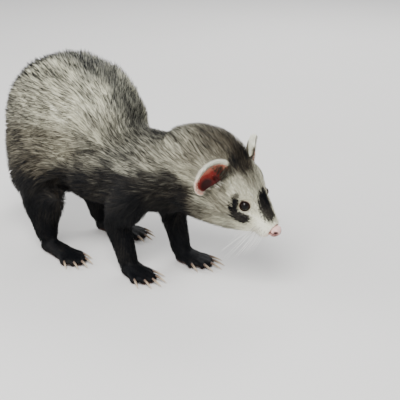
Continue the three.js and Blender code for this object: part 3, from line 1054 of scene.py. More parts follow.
@dataclass
class Eye:
    """One eye: a wet ball, and the lids that the skin folds round it.

    Attributes:
        side: Which eye.
        head: The head's pose.
        radius: The ball's radius, in mm.
        aim: The way it looks, along the head's axes for the left eye.
        opening: Half the opening between the lids, along it and across it, in mm.
        cornea: How far the cornea stands out, in mm.
        ball_rings: How many rings the ball has, and how many points a ring.
        lid_points: How many points a ring of the lids has.
        lid_growth: Loft, length and width of the hair on the lids, in mm.
        lid_crowd: Its tufts on a square mm.
        pose: The ball's middle, with axes forward along the lids, up across them, and outward.
    """

    side: Side
    head: Pose
    radius: float = 4.1
    aim: Triple = (0.42, 0.80, 0.42)
    opening: tuple[float, float] = (3.65, 3.45)
    cornea: float = 0.25
    ball_rings: tuple[int, int] = (40, 56)
    lid_points: int = 96
    lid_growth: Triple = (0.35, 1.1, 0.22)
    lid_crowd: float = 6.0
    pose: Pose = field(init=False)

    def __post_init__(self) -> None:
        """Finds the ball's middle and its axes."""
        outward = unit(self.head.turn(mirrored(self.aim, self.side.value)))
        forward = self.head.axes[0] - 0.35 * self.head.axes[2]
        forward = unit(forward - (forward @ outward) * outward)
        up = np.cross(outward, forward) * self.side.value
        if up @ self.head.axes[2] < 0.0:
            up = -up
        self.pose = Pose(node_centre(f"{self.side.word}_eye"), np.stack([forward, up, outward]))

    def edge(self, angle: Array) -> Array:
        """The opening's radius at an angle round the eye, a little pointed at the corners."""
        wide, high = self.opening
        round_edge = 1.0 / np.sqrt((np.cos(angle) / wide) ** 2 + (np.sin(angle) / high) ** 2)
        corner = 0.45 * np.exp(-((angle / 0.28) ** 2))
        corner += 0.25 * np.exp(-(((np.abs(angle) - math.pi) / 0.26) ** 2))
        return round_edge + corner

    def margin(self, local: Array) -> Array:
        """How far points, in mm along the eye's axes, lie outside the opening."""
        return np.hypot(local[:, 0], local[:, 1]) - self.edge(np.arctan2(local[:, 1], local[:, 0]))

    def ball(self) -> Piece:
        """Makes the eyeball with its cornea.

        Returns:
            The object.
        """
        ball, polar, _ = ball_grid(*self.ball_rings)
        radius = self.radius + self.cornea * ease(0.75, 0.35, polar)
        verts = self.pose.place(ball * radius[:, None])
        tris = without_slivers(verts, grid_triangles(*self.ball_rings))
        if np.linalg.det(self.pose.axes) < 0.0:
            tris = tris[:, ::-1]
        made = make_mesh(f"{self.side.word}_eyeball", verts, tris)
        turn = np.clip(polar / (math.pi / 2.0), 0.0, 1.0)
        add_channels(made, "gaze", np.repeat(turn[:, None], 4, axis=1))
        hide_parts(f"{self.side.word}_eye")
        dress(made, EyeFinish().material())
        return made

    def sink_skin(self, verts: Array) -> Array:
        """Draws the skin round the eye in under the lids.

        Args:
            verts: The skin's vertices, in metres.

        Returns:
            The vertices, moved.
        """
        local = self.pose.local(verts)
        margin = self.margin(local)
        near = (local[:, 2] > -2.0) & (margin < 3.6) & (np.linalg.norm(local, axis=1) < 12.0)
        sink = 0.9 * ease(3.6, 1.4, margin)
        deep = np.maximum(local[:, 2] - sink, 0.0) * ease(0.2, 1.4, margin)
        local[near, 2] = deep[near]
        return self.pose.place(local)

    def lids(self, skin: BVHTree, markings: Markings) -> Pelt:
        """Makes the lids as a ring of skin from the ball out to under the coat.

        Args:
            skin: The skin before it was drawn in round the eye.
            markings: The coat's lie and colours.

        Returns:
            The lids, as skin.
        """
        columns = self.lid_points
        angle = turns(columns, -math.pi)
        edge = self.edge(angle)
        beyond = np.array([-0.35, 0.0, 0.18, 0.45, 0.75, 1.05, 1.45, 1.95, 2.5, 3.1, 3.7])
        over_ball = np.array([-0.30, 0.02, 0.34, 0.52, 0.56, 0.46, 0.28, 0.16, 0.1, 0.0, 0.0])
        out = self.pose.axes[2]
        rows = []
        for step, rise in zip(beyond, over_ball):
            away = edge + step
            flat = np.stack([away * np.cos(angle), away * np.sin(angle)], axis=1)
            ball = np.sqrt(np.maximum((self.radius + rise) ** 2 - away**2, 0.0))
            height = []
            for spot, on_ball in zip(flat, ball):
                hit = struck(skin, self.pose.place([spot[0], spot[1], 14.0]), -out)
                ground = on_ball if hit is None else self.pose.local(hit)[2]
                share = float(ease(0.5, 2.4, np.array(step)))
                level = (1.0 - share) * max(on_ball, 0.4) + share * (ground + 0.25)
                height.append(level - (0.9 if step > 3.3 else 0.0))
            rows.append(np.column_stack([flat, height]))
        grid = np.array(rows)
        for _ in range(3):
            middle = (np.roll(grid, 1, axis=1) + np.roll(grid, -1, axis=1)) / 2.0
            grid[3:] = (grid[3:] + middle[3:]) / 2.0
        verts = self.pose.place(grid.reshape(-1, 3))
        tris = grid_triangles(len(beyond), columns)
        if (vertex_normals(verts, tris) @ out).mean() < 0.0:
            tris = tris[:, ::-1]
        lie, values = markings.survey(verts)
        tone = markings.tone(verts, values)
        margin = np.repeat(beyond, columns)
        growth = np.zeros((len(verts), 4))
        growth[:, :CROWD] = self.lid_growth
        growth[:, CROWD] = self.lid_crowd * ease(0.7, 1.3, margin) * ease(3.5, 2.9, margin)
        upper = np.tile(ease(-0.3, 0.5, np.sin(angle)), len(beyond))
        pale = ease(0.5, 0.9, margin) * ease(2.1, 1.1, margin) * (0.5 + 0.3 * upper)
        tone[:, SHADE] = tone[:, SHADE] * (1.0 - pale) + 0.14 * pale
        bare = np.zeros((len(verts), 4))
        bare[:, BARE] = ease(0.95, 0.6, margin)
        bare[:, RED] = 0.05
        bare[:, DARK_AND_SHADE] = 0.97 * ease(1.0, 0.75, margin)
        return Pelt(verts, tris, lie, growth, tone, bare)


@dataclass
class EarCup:
    """One ear: a thin rounded cup of skin, flatter below, furred behind and along its rim.

    Attributes:
        side: Which ear.
        head: The head's pose.
        root: The cup's middle, in mm along the head's axes for the left ear.
        height: The rim's height over the middle, in mm.
        low: How far the rim goes below the middle, as a share of the height.
        width: Half the rim's width, in mm.
        lobe: How much wider it is at the cheek's end.
        hollow: Depth of the cup, in mm.
        wall: Thickness of the cup, in mm.
        outward: How far the cup turns up from the head's side, in degrees.
        open_turn: How far its mouth turns from straight ahead, in degrees.
        lip_depth: How far the lower lip lies under the head's skin, in mm.
        clearance: How far the head's skin stays behind the cup, in mm.
        points: How many points a ring of the cup has.
        rings: How many rings its back and its inside have.
        pose: The cup's middle, with axes out of the mouth, up the ear, and towards the crown.
    """

    side: Side
    head: Pose
    root: Triple = (0.5, 24.8, 8.5)
    height: float = 11.6
    low: float = 0.86
    width: float = 14.3
    lobe: float = 1.18
    hollow: float = 5.2
    wall: float = 1.1
    outward: float = 42.0
    open_turn: float = 52.0
    lip_depth: float = 0.5
    clearance: float = 2.4
    points: int = 96
    rings: tuple[int, int] = (18, 26)
    pose: Pose = field(init=False)

    def __post_init__(self) -> None:
        """Finds the cup's middle and its axes."""
        rise = math.radians(self.outward)
        turn = math.radians(self.open_turn)
        side = self.side.value
        out = np.array([0.0, side * math.cos(rise), math.sin(rise)])
        ahead = np.array([1.0, 0.0, 0.0])
        mouth = math.cos(turn) * ahead + math.sin(turn) * out
        up = -math.sin(turn) * ahead + math.cos(turn) * out
        crown = -side * np.cross(up, mouth)
        middle = self.head.place(mirrored(self.root, side))
        self.pose = Pose(middle, self.head.turn(np.stack([mouth, up, crown])))

    def share(self, local: Array) -> Array:
        """How far out points lie, from 0 in the middle to 1 at the rim."""
        height = np.where(local[:, 1] < 0.0, self.height * self.low, self.height)
        width = np.where(local[:, 2] < 0.0, self.width * self.lobe, self.width)
        return np.hypot(local[:, 1] / height, local[:, 2] / width)

    def floor(self, share: Array) -> Array:
        """The cup's inner level along its mouth at a share of the way out, in mm."""
        return 1.7 - self.hollow * np.maximum(1.0 - share**2, 0.0) ** 0.6

    def sink_skin(self, verts: Array) -> Array:
        """Draws the head's skin in under the cup.

        Args:
            verts: The skin's vertices, in metres.

        Returns:
            The vertices, moved.
        """
        local = self.pose.local(verts)
        share = self.share(local)
        inside = (np.abs(local[:, 0]) < 10.0) & (share < 1.0)
        below = np.minimum(local[:, 0], self.floor(share) - self.wall - self.clearance)
        say = ease(1.0, 0.88, share) * inside
        local[:, 0] += (below - local[:, 0]) * say
        return self.pose.place(local)

    def _rooted(self, flat: Array, ground: BVHTree) -> Array:
        """Sinks the cup's lower lip just under the head's skin.

        Args:
            flat: Its vertices in mm along the ear's axes.
            ground: The head's skin.

        Returns:
            The vertices, moved.
        """
        mouth = self.pose.axes[0]
        low = ease(-4.0, -8.0, flat[:, 1]) * ease(0.6, 0.9, self.share(flat))
        moved = flat.copy()
        for index in np.nonzero(low > 0.0)[0]:
            hit = struck(ground, self.pose.place([12.0, flat[index, 1], flat[index, 2]]), -mouth)
            if hit is not None:
                level = self.pose.local(hit)[0] - self.lip_depth
                moved[index, 0] += min(level - flat[index, 0], 0.0) * low[index]
        return moved

    def build(self, ground: BVHTree) -> Pelt:
        """Makes the cup.

        Args:
            ground: The head's skin.

        Returns:
            The ear, as skin with its fur and its bare pink inside.
        """
        columns = self.points
        angle = turns(columns)
        outer = np.linspace(0.02, 1.0, self.rings[0])
        inner = np.linspace(0.985, 0.02, self.rings[1])
        tall_at = self.height * np.cos(angle) * np.where(np.cos(angle) < 0.0, self.low, 1.0)
        wide_at = self.width * np.sin(angle) * np.where(np.sin(angle) < 0.0, self.lobe, 1.0)
        rows = []
        kinds = []
        for share in outer:
            back = -(self.hollow + self.wall) * math.sqrt(max(1.0 - (0.97 * share) ** 2, 0.0)) + 1.3
            rows.append((share, np.full(columns, back)))
            kinds.append(0.0)
        for share, level, kind in ((1.025, 1.7, 0.5), (1.0, 2.1, 0.6), (0.96, 2.05, 0.7)):
            rows.append((share, np.full(columns, level)))
            kinds.append(kind)
        for share in inner:
            tall = tall_at * 0.93 * share
            wide = wide_at * 0.93 * share
            floor = self.floor(np.array(share))
            fold = 1.3 * np.exp(-(((wide - 3.2 - 0.15 * tall) / 1.3) ** 2)) * ease(7.5, 3.0, tall)
            fold += 0.9 * np.exp(-(((wide + 3.0 + 0.3 * tall) / 1.2) ** 2)) * ease(6.0, 1.0, tall)
            pit = 1.1 * np.exp(-((tall + 1.0) ** 2 + (wide + 9.0) ** 2) / 18.0)
            pit += 1.2 * np.exp(-((tall + 3.8) ** 2 + (wide + 0.2) ** 2) / 9.0)
            rows.append((share * 0.94, floor + (fold - pit) * ease(1.0, 0.7, np.array(share))))
            kinds.append(1.0)
        local = []
        for share, level in rows:
            flare = 0.9 * share**3 * np.sin(angle) ** 2 + 2.0 * share**2 * ease(0.1, -0.9, np.cos(angle))
            local.append(np.column_stack([level - flare, tall_at * share, wide_at * share]))
        flat = self._rooted(np.concatenate(local), ground)
        verts = self.pose.place(flat)
        tris = grid_triangles(len(rows), columns)
        if (vertex_normals(verts, tris)[:columns] @ self.pose.axes[0]).mean() > 0.0:
            tris = tris[:, ::-1]
        return self._grow(verts, tris, flat, np.repeat(kinds, columns))

    def _grow(self, verts: Array, tris: Array, flat: Array, kinds: Array) -> Pelt:
        """Says what grows on the cup and how it is coloured, with painted shade in its hollows.

        Args:
            verts: Its vertices, in metres.
            tris: Its triangles.
            flat: The vertices in mm along the ear's axes.
            kinds: 0 on the back, 1 inside, and between them on the rim.

        Returns:
            The ear, as skin.
        """
        share = self.share(flat)
        tall, wide = flat[:, 1], flat[:, 2]
        outwards = unit(np.column_stack([np.full(len(flat), 0.3), tall, wide]))
        inside = kinds > 0.9
        rim = ease(0.68, 0.86, share)
        upper = ease(-3.0, 2.0, tall) * ease(-12.0, -3.0, wide)
        front = kinds > 0.2
        dark_side = ease(2.0, 5.5, wide) * np.clip((8.0 - 5.0 * rim - tall) / 3.0, 0.0, 1.0) * front
        inward = np.array([0.35, -0.25, -0.8])
        lie = np.where(inside[:, None], outwards + [0.35, 0.3, -0.15], outwards + [0.1, 0.7, -0.2])
        lie = lie * (1.0 - dark_side)[:, None] + inward * dark_side[:, None]
        growth = np.zeros((len(flat), 4))
        growth[:, LOFT] = np.where(inside, 0.5 + 1.1 * rim + 0.9 * dark_side, 0.7 + 1.2 * rim * upper)
        growth[:, LENGTH] = np.where(inside, 2.4 + 1.6 * rim * upper + 2.4 * dark_side, 3.2 + 1.8 * upper)
        growth[:, WIDTH] = 0.30
        crowd_inside = 9.0 * rim * (0.06 + 0.94 * upper) * (1.0 - dark_side) + 3.2 * dark_side
        growth[:, CROWD] = np.where(inside, crowd_inside, (3.6 + 5.5 * rim) * (0.3 + 0.7 * upper))
        tone = np.zeros((len(flat), 4))
        dusk = np.maximum(1.0 - rim, dark_side)
        tone[:, SHADE] = np.where(front, 0.03 + 0.76 * dusk, 0.40 * (1.0 - rim) + 0.02)
        tone[:, TIPS] = 0.1 * (1.0 - rim)
        tone[:, WARMTH] = 0.4 + 0.6 * dusk
        tone[:, BLUSH] = 0.35 * ease(4.0, -6.0, wide) * rim
        bare = np.zeros((len(flat), 4))
        bare[:, BARE] = np.where(inside, ease(0.95, 0.82, share), 0.0)
        bare[:, BARE] = np.maximum(bare[:, BARE], 0.8 * ease(-7.0, -12.0, wide) * front)
        deep = np.hypot(tall + 2.0, (wide + 8.0) * 0.75)
        canal = np.hypot(tall + 3.8, wide + 0.2)
        bare[:, RED] = np.clip(0.5 + 0.7 * ease(11.0, 5.0, np.minimum(deep, canal)), 0.0, 1.0)
        bare[:, RED] *= ease(1.02, 0.86, share)
        # Painted shade on the bare inside: darker in the hollow at the back of the fold, in the canal's pit
        # and towards the bottom of the cup.
        bare[:, DARK_AND_SHADE] = np.maximum(0.92 * ease(7.0, 2.6, deep), 0.85 * ease(5.2, 1.2, canal))
        bare[:, DARK_AND_SHADE] = np.maximum(bare[:, DARK_AND_SHADE], 0.85 * ease(-1.0, -6.0, tall) * inside)
        return Pelt(verts, tris, self.pose.turn(unit(lie)), growth, tone, bare)


@dataclass
class Skin:
    """The one skin over the trunk, neck, head, legs, paws and tail, with the ears and lids.

    Attributes:
        markings: The coat's lie, depth and colours.
        eyes: Both eyes.
        ears: Both ears.
        nose: The nose.
        voxel: Size of the voxels the flesh is joined with, in mm.
        swell: How far each solid is swollen to close the joints between them, in mm.
        plug_half: Half sizes of what fills the pocket behind an ear, in mm along the ear's axes.
        plug_depth: Where its middle lies along the ear's mouth, in mm.
        plug_rings: How many rings it has, and how many points a ring.
        finer: Where the mesh is split finer, a round each: how far round the head's axis, and from where
            along it, in mm.
        finer_front: Where along the head's axis that ends, in mm.
        rounds: Rounds of smoothing before and after the skin is drawn in under the coat.
    """

    markings: Markings
    eyes: list[Eye]
    ears: list[EarCup]
    nose: "Nose"
    voxel: float = 1.65
    swell: float = 0.45
    plug_half: Triple = (3.4, 9.5, 11.5)
    plug_depth: float = -9.0
    plug_rings: tuple[int, int] = (10, 16)
    finer: tuple[tuple[float, float], ...] = ((46.0, -13.0), (44.0, 20.0))
    finer_front: float = 70.0
    rounds: tuple[int, int] = (50, 24)

    def flesh_nodes(self) -> list[str]:
        """The nodes that the skin stands for."""
        apart = ("claw", "eye", "nose")
        return [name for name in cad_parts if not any(word in name for word in apart)]

    def _flesh(self) -> Piece:
        """Puts together swollen copies of the flesh nodes, with plugs in the ear and eye pockets.

        Returns:
            The object, whose parts overlap.
        """
        flesh = Bundle()
        solids = [name for name in self.flesh_nodes() if not name.endswith("_ear")]
        for name in [*solids, "nose", "left_eye", "right_eye"]:
            points, faces = node_arrays(name)
            welded, index = np.unique(np.round(points, 6), axis=0, return_inverse=True)
            faces = index.reshape(-1)[faces]
            flesh.add(welded + vertex_normals(welded, faces) * self.swell * MM, faces)
        ball, _, _ = ball_grid(*self.plug_rings)
        plug = ball * np.array(self.plug_half) + np.array([self.plug_depth, 0.0, 0.0])
        for ear in self.ears:
            points = ear.pose.place(plug)
            faces = grid_triangles(*self.plug_rings)
            if ((points - points.mean(axis=0)) * vertex_normals(points, faces)).sum() < 0.0:
                faces = faces[:, ::-1]
            flesh.add(points, faces)
        return flesh.make("flesh")

    def _remeshed(self) -> tuple[Array, Array]:
        """Fuses the flesh into one surface, finer over the head and finest over the face.

        Returns:
            Its vertices in metres, and its triangles.
        """
        flesh = self._flesh()
        fuse = flesh.modifiers.new("fuse", "REMESH")
        fuse.mode = "VOXEL"
        fuse.voxel_size = self.voxel * MM
        graph = bpy.context.evaluated_depsgraph_get()
        fused = bpy.data.meshes.new_from_object(flesh.evaluated_get(graph))
        work = bmesh.new()
        work.from_mesh(fused)
        for far, back in self.finer:
            chosen = []
            for face in work.faces:
                middle = self.markings.head.local(np.array(face.calc_center_median())[None])[0]
                if back < middle[0] < self.finer_front and np.hypot(middle[1], middle[2]) < far:
                    chosen.append(face)
            edges = list({edge for face in chosen for edge in face.edges})
            bmesh.ops.subdivide_edges(work, edges=edges, cuts=1, use_grid_fill=True)
        bmesh.ops.triangulate(work, faces=list(work.faces))
        work.to_mesh(fused)
        work.free()
        verts = np.empty(len(fused.vertices) * 3)
        fused.vertices.foreach_get("co", verts)
        tris = np.empty(len(fused.polygons) * 3, dtype=np.int32)
        fused.polygons.foreach_get("vertices", tris)
        bpy.data.objects.remove(flesh)
        bpy.data.meshes.remove(fused)
        return verts.reshape(-1, 3), tris.reshape(-1, 3)

    @staticmethod
    def _smoothed(verts: Array, tris: Array, rounds: int, say: Array) -> Array:
        """Evens out facets without shrinking the shape.

        Args:
            verts: Vertices.
            tris: Triangles.
            rounds: How many rounds.
            say: How much each vertex may move, from 0 to 1.

        Returns:
            The vertices, smoothed.
        """
        starts = tris.T.ravel()
        stops = np.roll(tris, -1, axis=1).T.ravel()
        count = np.maximum(np.bincount(starts, minlength=len(verts)), 1)
        result = verts.copy()
        for index in range(rounds):
            pull = (0.5, -0.52)[index % 2]
            middle = np.stack(
                [np.bincount(starts, result[stops, axis], len(verts)) / count for axis in range(3)], axis=1
            )
            result = result + (middle - result) * (pull * say)[:, None]
        return result

    def _face_folds(self, verts: Array, normals: Array) -> tuple[Array, Array]:
        """Cuts the mouth's line and the groove under the nose.

        Args:
            verts: The skin's vertices, in metres.
            normals: Their normals.

        Returns:
            The vertices, moved, and how close each is to the lips' line, from 0 to 1.
        """
        local = self.markings.head.local(verts)
        folded = np.column_stack([local[:, 0], np.abs(local[:, 1]), local[:, 2]])
        mouth = np.array(
            [(59.0, 0.0, -12.2), (57.0, 3.4, -12.4), (52.0, 7.4, -13.2), (46.0, 9.6, -13.6),
             (39.0, 12.2, -13.0), (33.5, 14.0, -11.4)]
        )
        groove = np.array([(61.0, 0.0, -7.6), (59.5, 0.0, -12.2)])
        gap = polyline_distance(folded, mouth)
        slit = polyline_distance(folded, groove)
        lips = np.exp(-((gap / 0.75) ** 2))
        lips = np.maximum(lips, 0.8 * np.exp(-((slit / 0.5) ** 2)))
        pad = np.exp(-(((folded - [50.0, 6.4, -8.6]) / [6.0, 4.0, 3.6]) ** 2).sum(axis=1))
        moved = verts + normals * ((0.45 * pad - 0.9 * lips) * MM)[:, None]
        return moved, lips

    def build(self) -> Pelt:
        """Makes the skin.

        Returns:
            The whole skin with what grows on it.
        """
        markings = self.markings
        verts, tris = self._remeshed()
        lie, values = markings.survey(verts)
        soft = 0.25 + 0.75 * ease(1.0, 3.6, values[:, LOFT])
        soft *= 0.3 + 0.7 * ease(26.0, 46.0, verts[:, 2] / MM)
        verts = self._smoothed(verts, tris, self.rounds[0], soft)
        normals = vertex_normals(verts, tris)
        verts = verts - normals * ((values[:, LOFT] + self.swell * 0.7) * MM)[:, None]
        verts = self._smoothed(verts, tris, self.rounds[1], soft)
        normals = vertex_normals(verts, tris)
        verts, lips = self._face_folds(verts, normals)
        before = BVHTree.FromPolygons(verts.tolist(), tris.tolist())
        lids = [eye.lids(before, markings) for eye in self.eyes]
        for feature in [*self.eyes, *self.ears, self.nose]:
            verts = feature.sink_skin(verts)
        growth = values[:, : CROWD + 1].copy()
        tone = markings.tone(verts, values)
        bare = np.zeros((len(verts), 4))
        bare[:, BARE] = 0.75 * lips
        bare[:, RED] = 0.25
        bare[:, DARK_AND_SHADE] = 0.55 * lips
        normals = vertex_normals(verts, tris)
        spots = (verts / MM) - DRAWING_SHIFT
        sole = ease(5.5, 3.5, spots[:, 2]) * ease(-0.5, -0.8, normals[:, 2])
        bare[:, BARE] = np.maximum(bare[:, BARE], 0.6 * sole)
        bare[:, DARK_AND_SHADE] = np.maximum(bare[:, DARK_AND_SHADE], 0.8 * sole)
        growth[:, CROWD] *= (1.0 - sole) * (1.0 - 0.9 * lips)
        growth = self._clear_features(verts, growth)
        body = Pelt(verts, tris, lie, growth, tone, bare)
        return Pelt.joined([body] + lids + [ear.build(before) for ear in self.ears])

    def _clear_features(self, verts: Array, growth: Array) -> Array:
        """Thins and shortens the coat round the eyes, the nose and the ears' mouths.

        Args:
            verts: The skin's vertices, in metres.
            growth: What grows on them.

        Returns:
            The growth, changed.
        """
        growth = growth.copy()
        for eye in self.eyes:
            local = eye.pose.local(verts)
            margin = np.where(np.linalg.norm(local, axis=1) < 14.0, eye.margin(local), 20.0)
            growth[:, CROWD] *= ease(1.6, 2.6, margin)
            growth[:, LENGTH] = np.minimum(growth[:, LENGTH], 1.2 + 0.45 * np.maximum(margin - 1.0, 0.0))
        local = self.markings.head.local(verts)
        pad = np.linalg.norm((local - [57.9, 0.0, -4.1]) / [4.6, 6.2, 4.7], axis=1)
        growth[:, CROWD] *= ease(1.0, 1.15, pad)
        for ear in self.ears:
            local = ear.pose.local(verts)
            share = np.where(np.abs(local[:, 0]) < 12.0, ear.share(local), 9.0)
            growth[:, CROWD] *= ease(0.62, 0.8, share)
            growth[:, LENGTH] = np.minimum(growth[:, LENGTH], 3.8 + 9.0 * np.maximum(share - 1.0, 0.0))
        return growth

    def dress(self, pelt: Pelt) -> Piece:
        """Makes the skin's object and unwraps it.

        Args:
            pelt: The whole skin.

        Returns:
            The object, with its map named OFBake.
        """
        made = make_mesh("skin", pelt.verts, pelt.tris)
        add_channels(made, "tone", pelt.tone)
        add_channels(made, "bare", pelt.bare)
        made.data.uv_layers.new(name="OFBake")
        bpy.context.view_layer.objects.active = made
        made.select_set(True)
        bpy.ops.object.mode_set(mode="EDIT")
        bpy.ops.mesh.select_all(action="SELECT")
        bpy.ops.uv.smart_project(angle_limit=math.radians(66.0), island_margin=0.002)
        bpy.ops.object.mode_set(mode="OBJECT")
        made.select_set(False)
        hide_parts(*self.flesh_nodes())
        dress(made, SkinFinish().material())
        return made


@dataclass
class Coat:
    """The tufts over the skin.

    Attributes:
        pieces: How many objects the tufts are shared among, each of them all over the body.
        density: What every place's crowd of tufts is multiplied by.
        guard_share: The share of tufts that are guard hairs.
        stream_share: How many tufts there are to each line of hair.
        stream_steps: How many steps a line takes over the skin.
        stream_pace: The length of a step, as a share of the tufts' length.
        ahead: Where along a tuft its colour is read from the skin below, as a share of its length.
        slip: How far that varies from one line to another, in mm and as a share of the length.
        lines_near: How many points of lines are looked at for each tuft.
        sunk: How far the roots lie under the skin, in mm.
        long_from: The length from which a tuft has one more bend, in mm.
        patch: The side of a tuft's patch on the skin's unwrap.
    """

    pieces: int = 8
    density: float = 0.64
    guard_share: float = 0.36
    stream_share: int = 13
    stream_steps: int = 15
    stream_pace: float = 0.12
    ahead: float = 0.5
    slip: tuple[float, float] = (0.45, 0.16)
    lines_near: int = 6
    sunk: float = 0.3
    long_from: float = 5.5
    patch: float = 0.003

    def _sow(self, pelt: Pelt, unwrap: Array, rng: np.random.Generator) -> dict[str, Array]:
        """Scatters roots over the skin.

        Args:
            pelt: The skin.
            unwrap: The skin's map, a corner at a time.
            rng: The source of chance.

        Returns:
            What is known of each root, by name.
        """
        area = np.linalg.norm(crosses(pelt.verts / MM, pelt.tris), axis=1) / 2.0
        wanted = np.cumsum(area * pelt.growth[pelt.tris, CROWD].mean(axis=1) * self.density)
        count = int(wanted[-1])
        spots = (np.arange(count) + rng.random(count)) / count * wanted[-1]
        chosen = np.minimum(np.searchsorted(wanted, spots), len(wanted) - 1)
        first = rng.random(count)
        second = rng.random(count)
        flip = first + second > 1.0
        first[flip] = 1.0 - first[flip]
        second[flip] = 1.0 - second[flip]
        say = np.stack([1.0 - first - second, first, second], axis=1)
        normals = vertex_normals(pelt.verts, pelt.tris)

        def at_roots(values: Array) -> Array:
            """Reads a value of the vertices at the roots."""
            return (values[pelt.tris[chosen]] * say[:, :, None]).sum(axis=1)

        return {
            "root": at_roots(pelt.verts),
            "normal": unit(at_roots(normals)),
            "lie": at_roots(pelt.lie),
            "growth": at_roots(pelt.growth),
            "uv": (unwrap[chosen] * say[:, :, None]).sum(axis=1),
        }

    def _streams(
        self, skin: BVHTree, normals: Array, lies: Array, spots: Array, lie: Array, length: Array,
        rng: np.random.Generator,
    ) -> tuple[Array, Array]:
        """Walks lines over the skin along the hair and gathers the tufts to them.

        Args:
            skin: The skin.
            normals: Its triangles' normals.
            lies: The way the hair points on each triangle.
            spots: The tufts' roots, in metres.
            lie: The way each tuft points.
            length: Their lengths, in metres.
            rng: The source of chance.

        Returns:
            The number of each tuft's line, and how far the tuft stands beside the line, in metres.
        """
        seeds = rng.permutation(len(spots))[: len(spots) // self.stream_share]
        here = spots[seeds]
        lines = []
        for _ in range(self.stream_steps):
            found = [skin.find_nearest(point) for point in here.tolist()]
            here = np.array([hit[0] for hit in found])
            face = np.array([hit[2] for hit in found])
            lines.append(here)
            onward = lies[face] - (lies[face] * normals[face]).sum(axis=1, keepdims=True) * normals[face]
            here = here + unit(onward) * (self.stream_pace * length[seeds])[:, None]
        points = np.concatenate(lines)
        tree = KDTree(len(points))
        for index, point in enumerate(points.tolist()):
            tree.insert(point, index)
        tree.balance()
        near = np.array(
            [[found[1] for found in tree.find_n(point, self.lines_near)] for point in spots.tolist()]
        )
        gap = spots[:, None] - points[near]
        along = (gap * lie[:, None]).sum(axis=2)
        beside = gap - along[:, :, None] * lie[:, None]
        best = np.argmin((beside**2).sum(axis=2) + (0.22 * along) ** 2, axis=1)
        row = np.arange(len(spots))
        return near[row, best] % len(seeds), beside[row, best]

    @staticmethod
    def _follow(skin: BVHTree, normals: Array, points: Array, heights: Array, say: Array) -> Array:
        """Brings points of the tufts to their height over the skin below them.

        Args:
            skin: The skin.
            normals: Its triangles' normals.
            points: The points, in metres.
            heights: The height each should have, in metres.
            say: How far each obeys, from 0 to 1.

        Returns:
            The points, moved.
        """
        moved = points.copy()
        for index, point in enumerate(points.tolist()):
            spot, _, face, _ = skin.find_nearest(point)
            if spot is not None:
                target = np.array(spot) + normals[face] * heights[index]
                moved[index] += (target - moved[index]) * say[index]
        return moved

    def grow(self, pelt: Pelt, unwrap: Array) -> list[Piece]:
        """Makes the tufts.

        Args:
            pelt: The skin.
            unwrap: The skin's map, a corner at a time.

        Returns:
            The coat's objects.
        """
        rng = np.random.default_rng(SEED)
        roots = self._sow(pelt, unwrap, rng)
        root = roots["root"]
        count = len(root)
        loft, length, width = roots["growth"][:, :CROWD].T
        normal = roots["normal"]
        lie = unit(roots["lie"] - (roots["lie"] * normal).sum(axis=1, keepdims=True) * normal)
        skin = BVHTree.FromPolygons(pelt.verts.tolist(), pelt.tris.tolist())
        faces = unit(crosses(pelt.verts, pelt.tris))
        lies = pelt.lie[pelt.tris].mean(axis=1)
        lock, beside = self._streams(skin, faces, lies, root, lie, length * MM, rng)
        lock_chance = rng.random(lock.max() + 1)[lock]
        lock_sway = rng.normal(0.0, 0.045, lock.max() + 1)[lock]
        slipped = rng.normal(0.0, 1.0, lock.max() + 1)[lock] * (self.slip[0] + self.slip[1] * length)
        shift = (self.ahead * length + slipped) * MM
        seen = [skin.find_nearest(point)[2] for point in (root + lie * shift[:, None]).tolist()]
        tone = pelt.tone[pelt.tris].mean(axis=1)[seen]
        guard = rng.random(count) < self.guard_share + 0.36 * (lock_chance - 0.5)
        scale = np.where(guard, rng.uniform(0.95, 1.25, count), rng.uniform(0.65, 1.0, count))
        length = length * scale * MM
        rise = loft * np.where(guard, rng.uniform(0.85, 1.2, count), rng.uniform(0.68, 1.02, count)) * MM
        rise = np.minimum(rise, length * 0.9)
        width = width * np.where(guard, rng.uniform(0.5, 0.8, count), rng.uniform(0.9, 1.4, count)) * MM
        across = np.cross(normal, lie)
        sway = 0.07 * waves(root / MM, 9.0, 13) + lock_sway + rng.normal(0.0, 0.045, count)
        lie = unit(lie * np.cos(sway)[:, None] + across * np.sin(sway)[:, None])
        across = np.cross(normal, lie)
        reach = np.sqrt(np.maximum(length**2 - rise**2 * 1.1, (0.35 * length) ** 2))
        start = root - normal * (self.sunk * MM)
        bend = 0.68 * rise
        middle = root - 0.3 * beside + lie * (0.45 * reach)[:, None] + normal * bend[:, None]
        tip = root - 0.6 * beside + lie * reach[:, None] + normal * rise[:, None]
        wild = np.where(guard, rng.random(count) ** 2 * 0.75, 0.1) * ease(5.0, 9.0, loft)
        middle = self._follow(skin, faces, middle, bend, np.full(count, 0.8))
        tip = self._follow(skin, faces, tip, rise, 0.9 - wild)
        made = []
        owner = rng.integers(0, self.pieces, count)
        hair = np.column_stack([rng.random(count), guard.astype(float), lock_chance])
        finish = CoatFinish().material()
        for piece in range(self.pieces):
            mine = owner == piece
            tufts = Tufts(
                start[mine], middle[mine], tip[mine], across[mine], normal[mine], width[mine],
                tone[mine], hair[mine], roots["uv"][mine], self.patch,
            )
            made.append(tufts.build(f"coat_{piece + 1}", finish, length[mine] > self.long_from * MM))
        return made


@dataclass(frozen=True)
class Taper:
    """A kind of tuft, by its rings.

    Attributes:
        along: Where they are, from root to tip.
        girth: Each ring's share of the width.
    """

    along: tuple[float, ...]
    girth: tuple[float, ...]

    @property
    def points(self) -> int:
        """How many vertices a tuft has: three on a ring, and the tip."""
        return 3 * len(self.along) + 1


LONG_TAPER = Taper((0.0, 0.38, 0.74), (0.85, 1.0, 0.62))
SHORT_TAPER = Taper((0.0, 0.5), (1.0, 0.8))


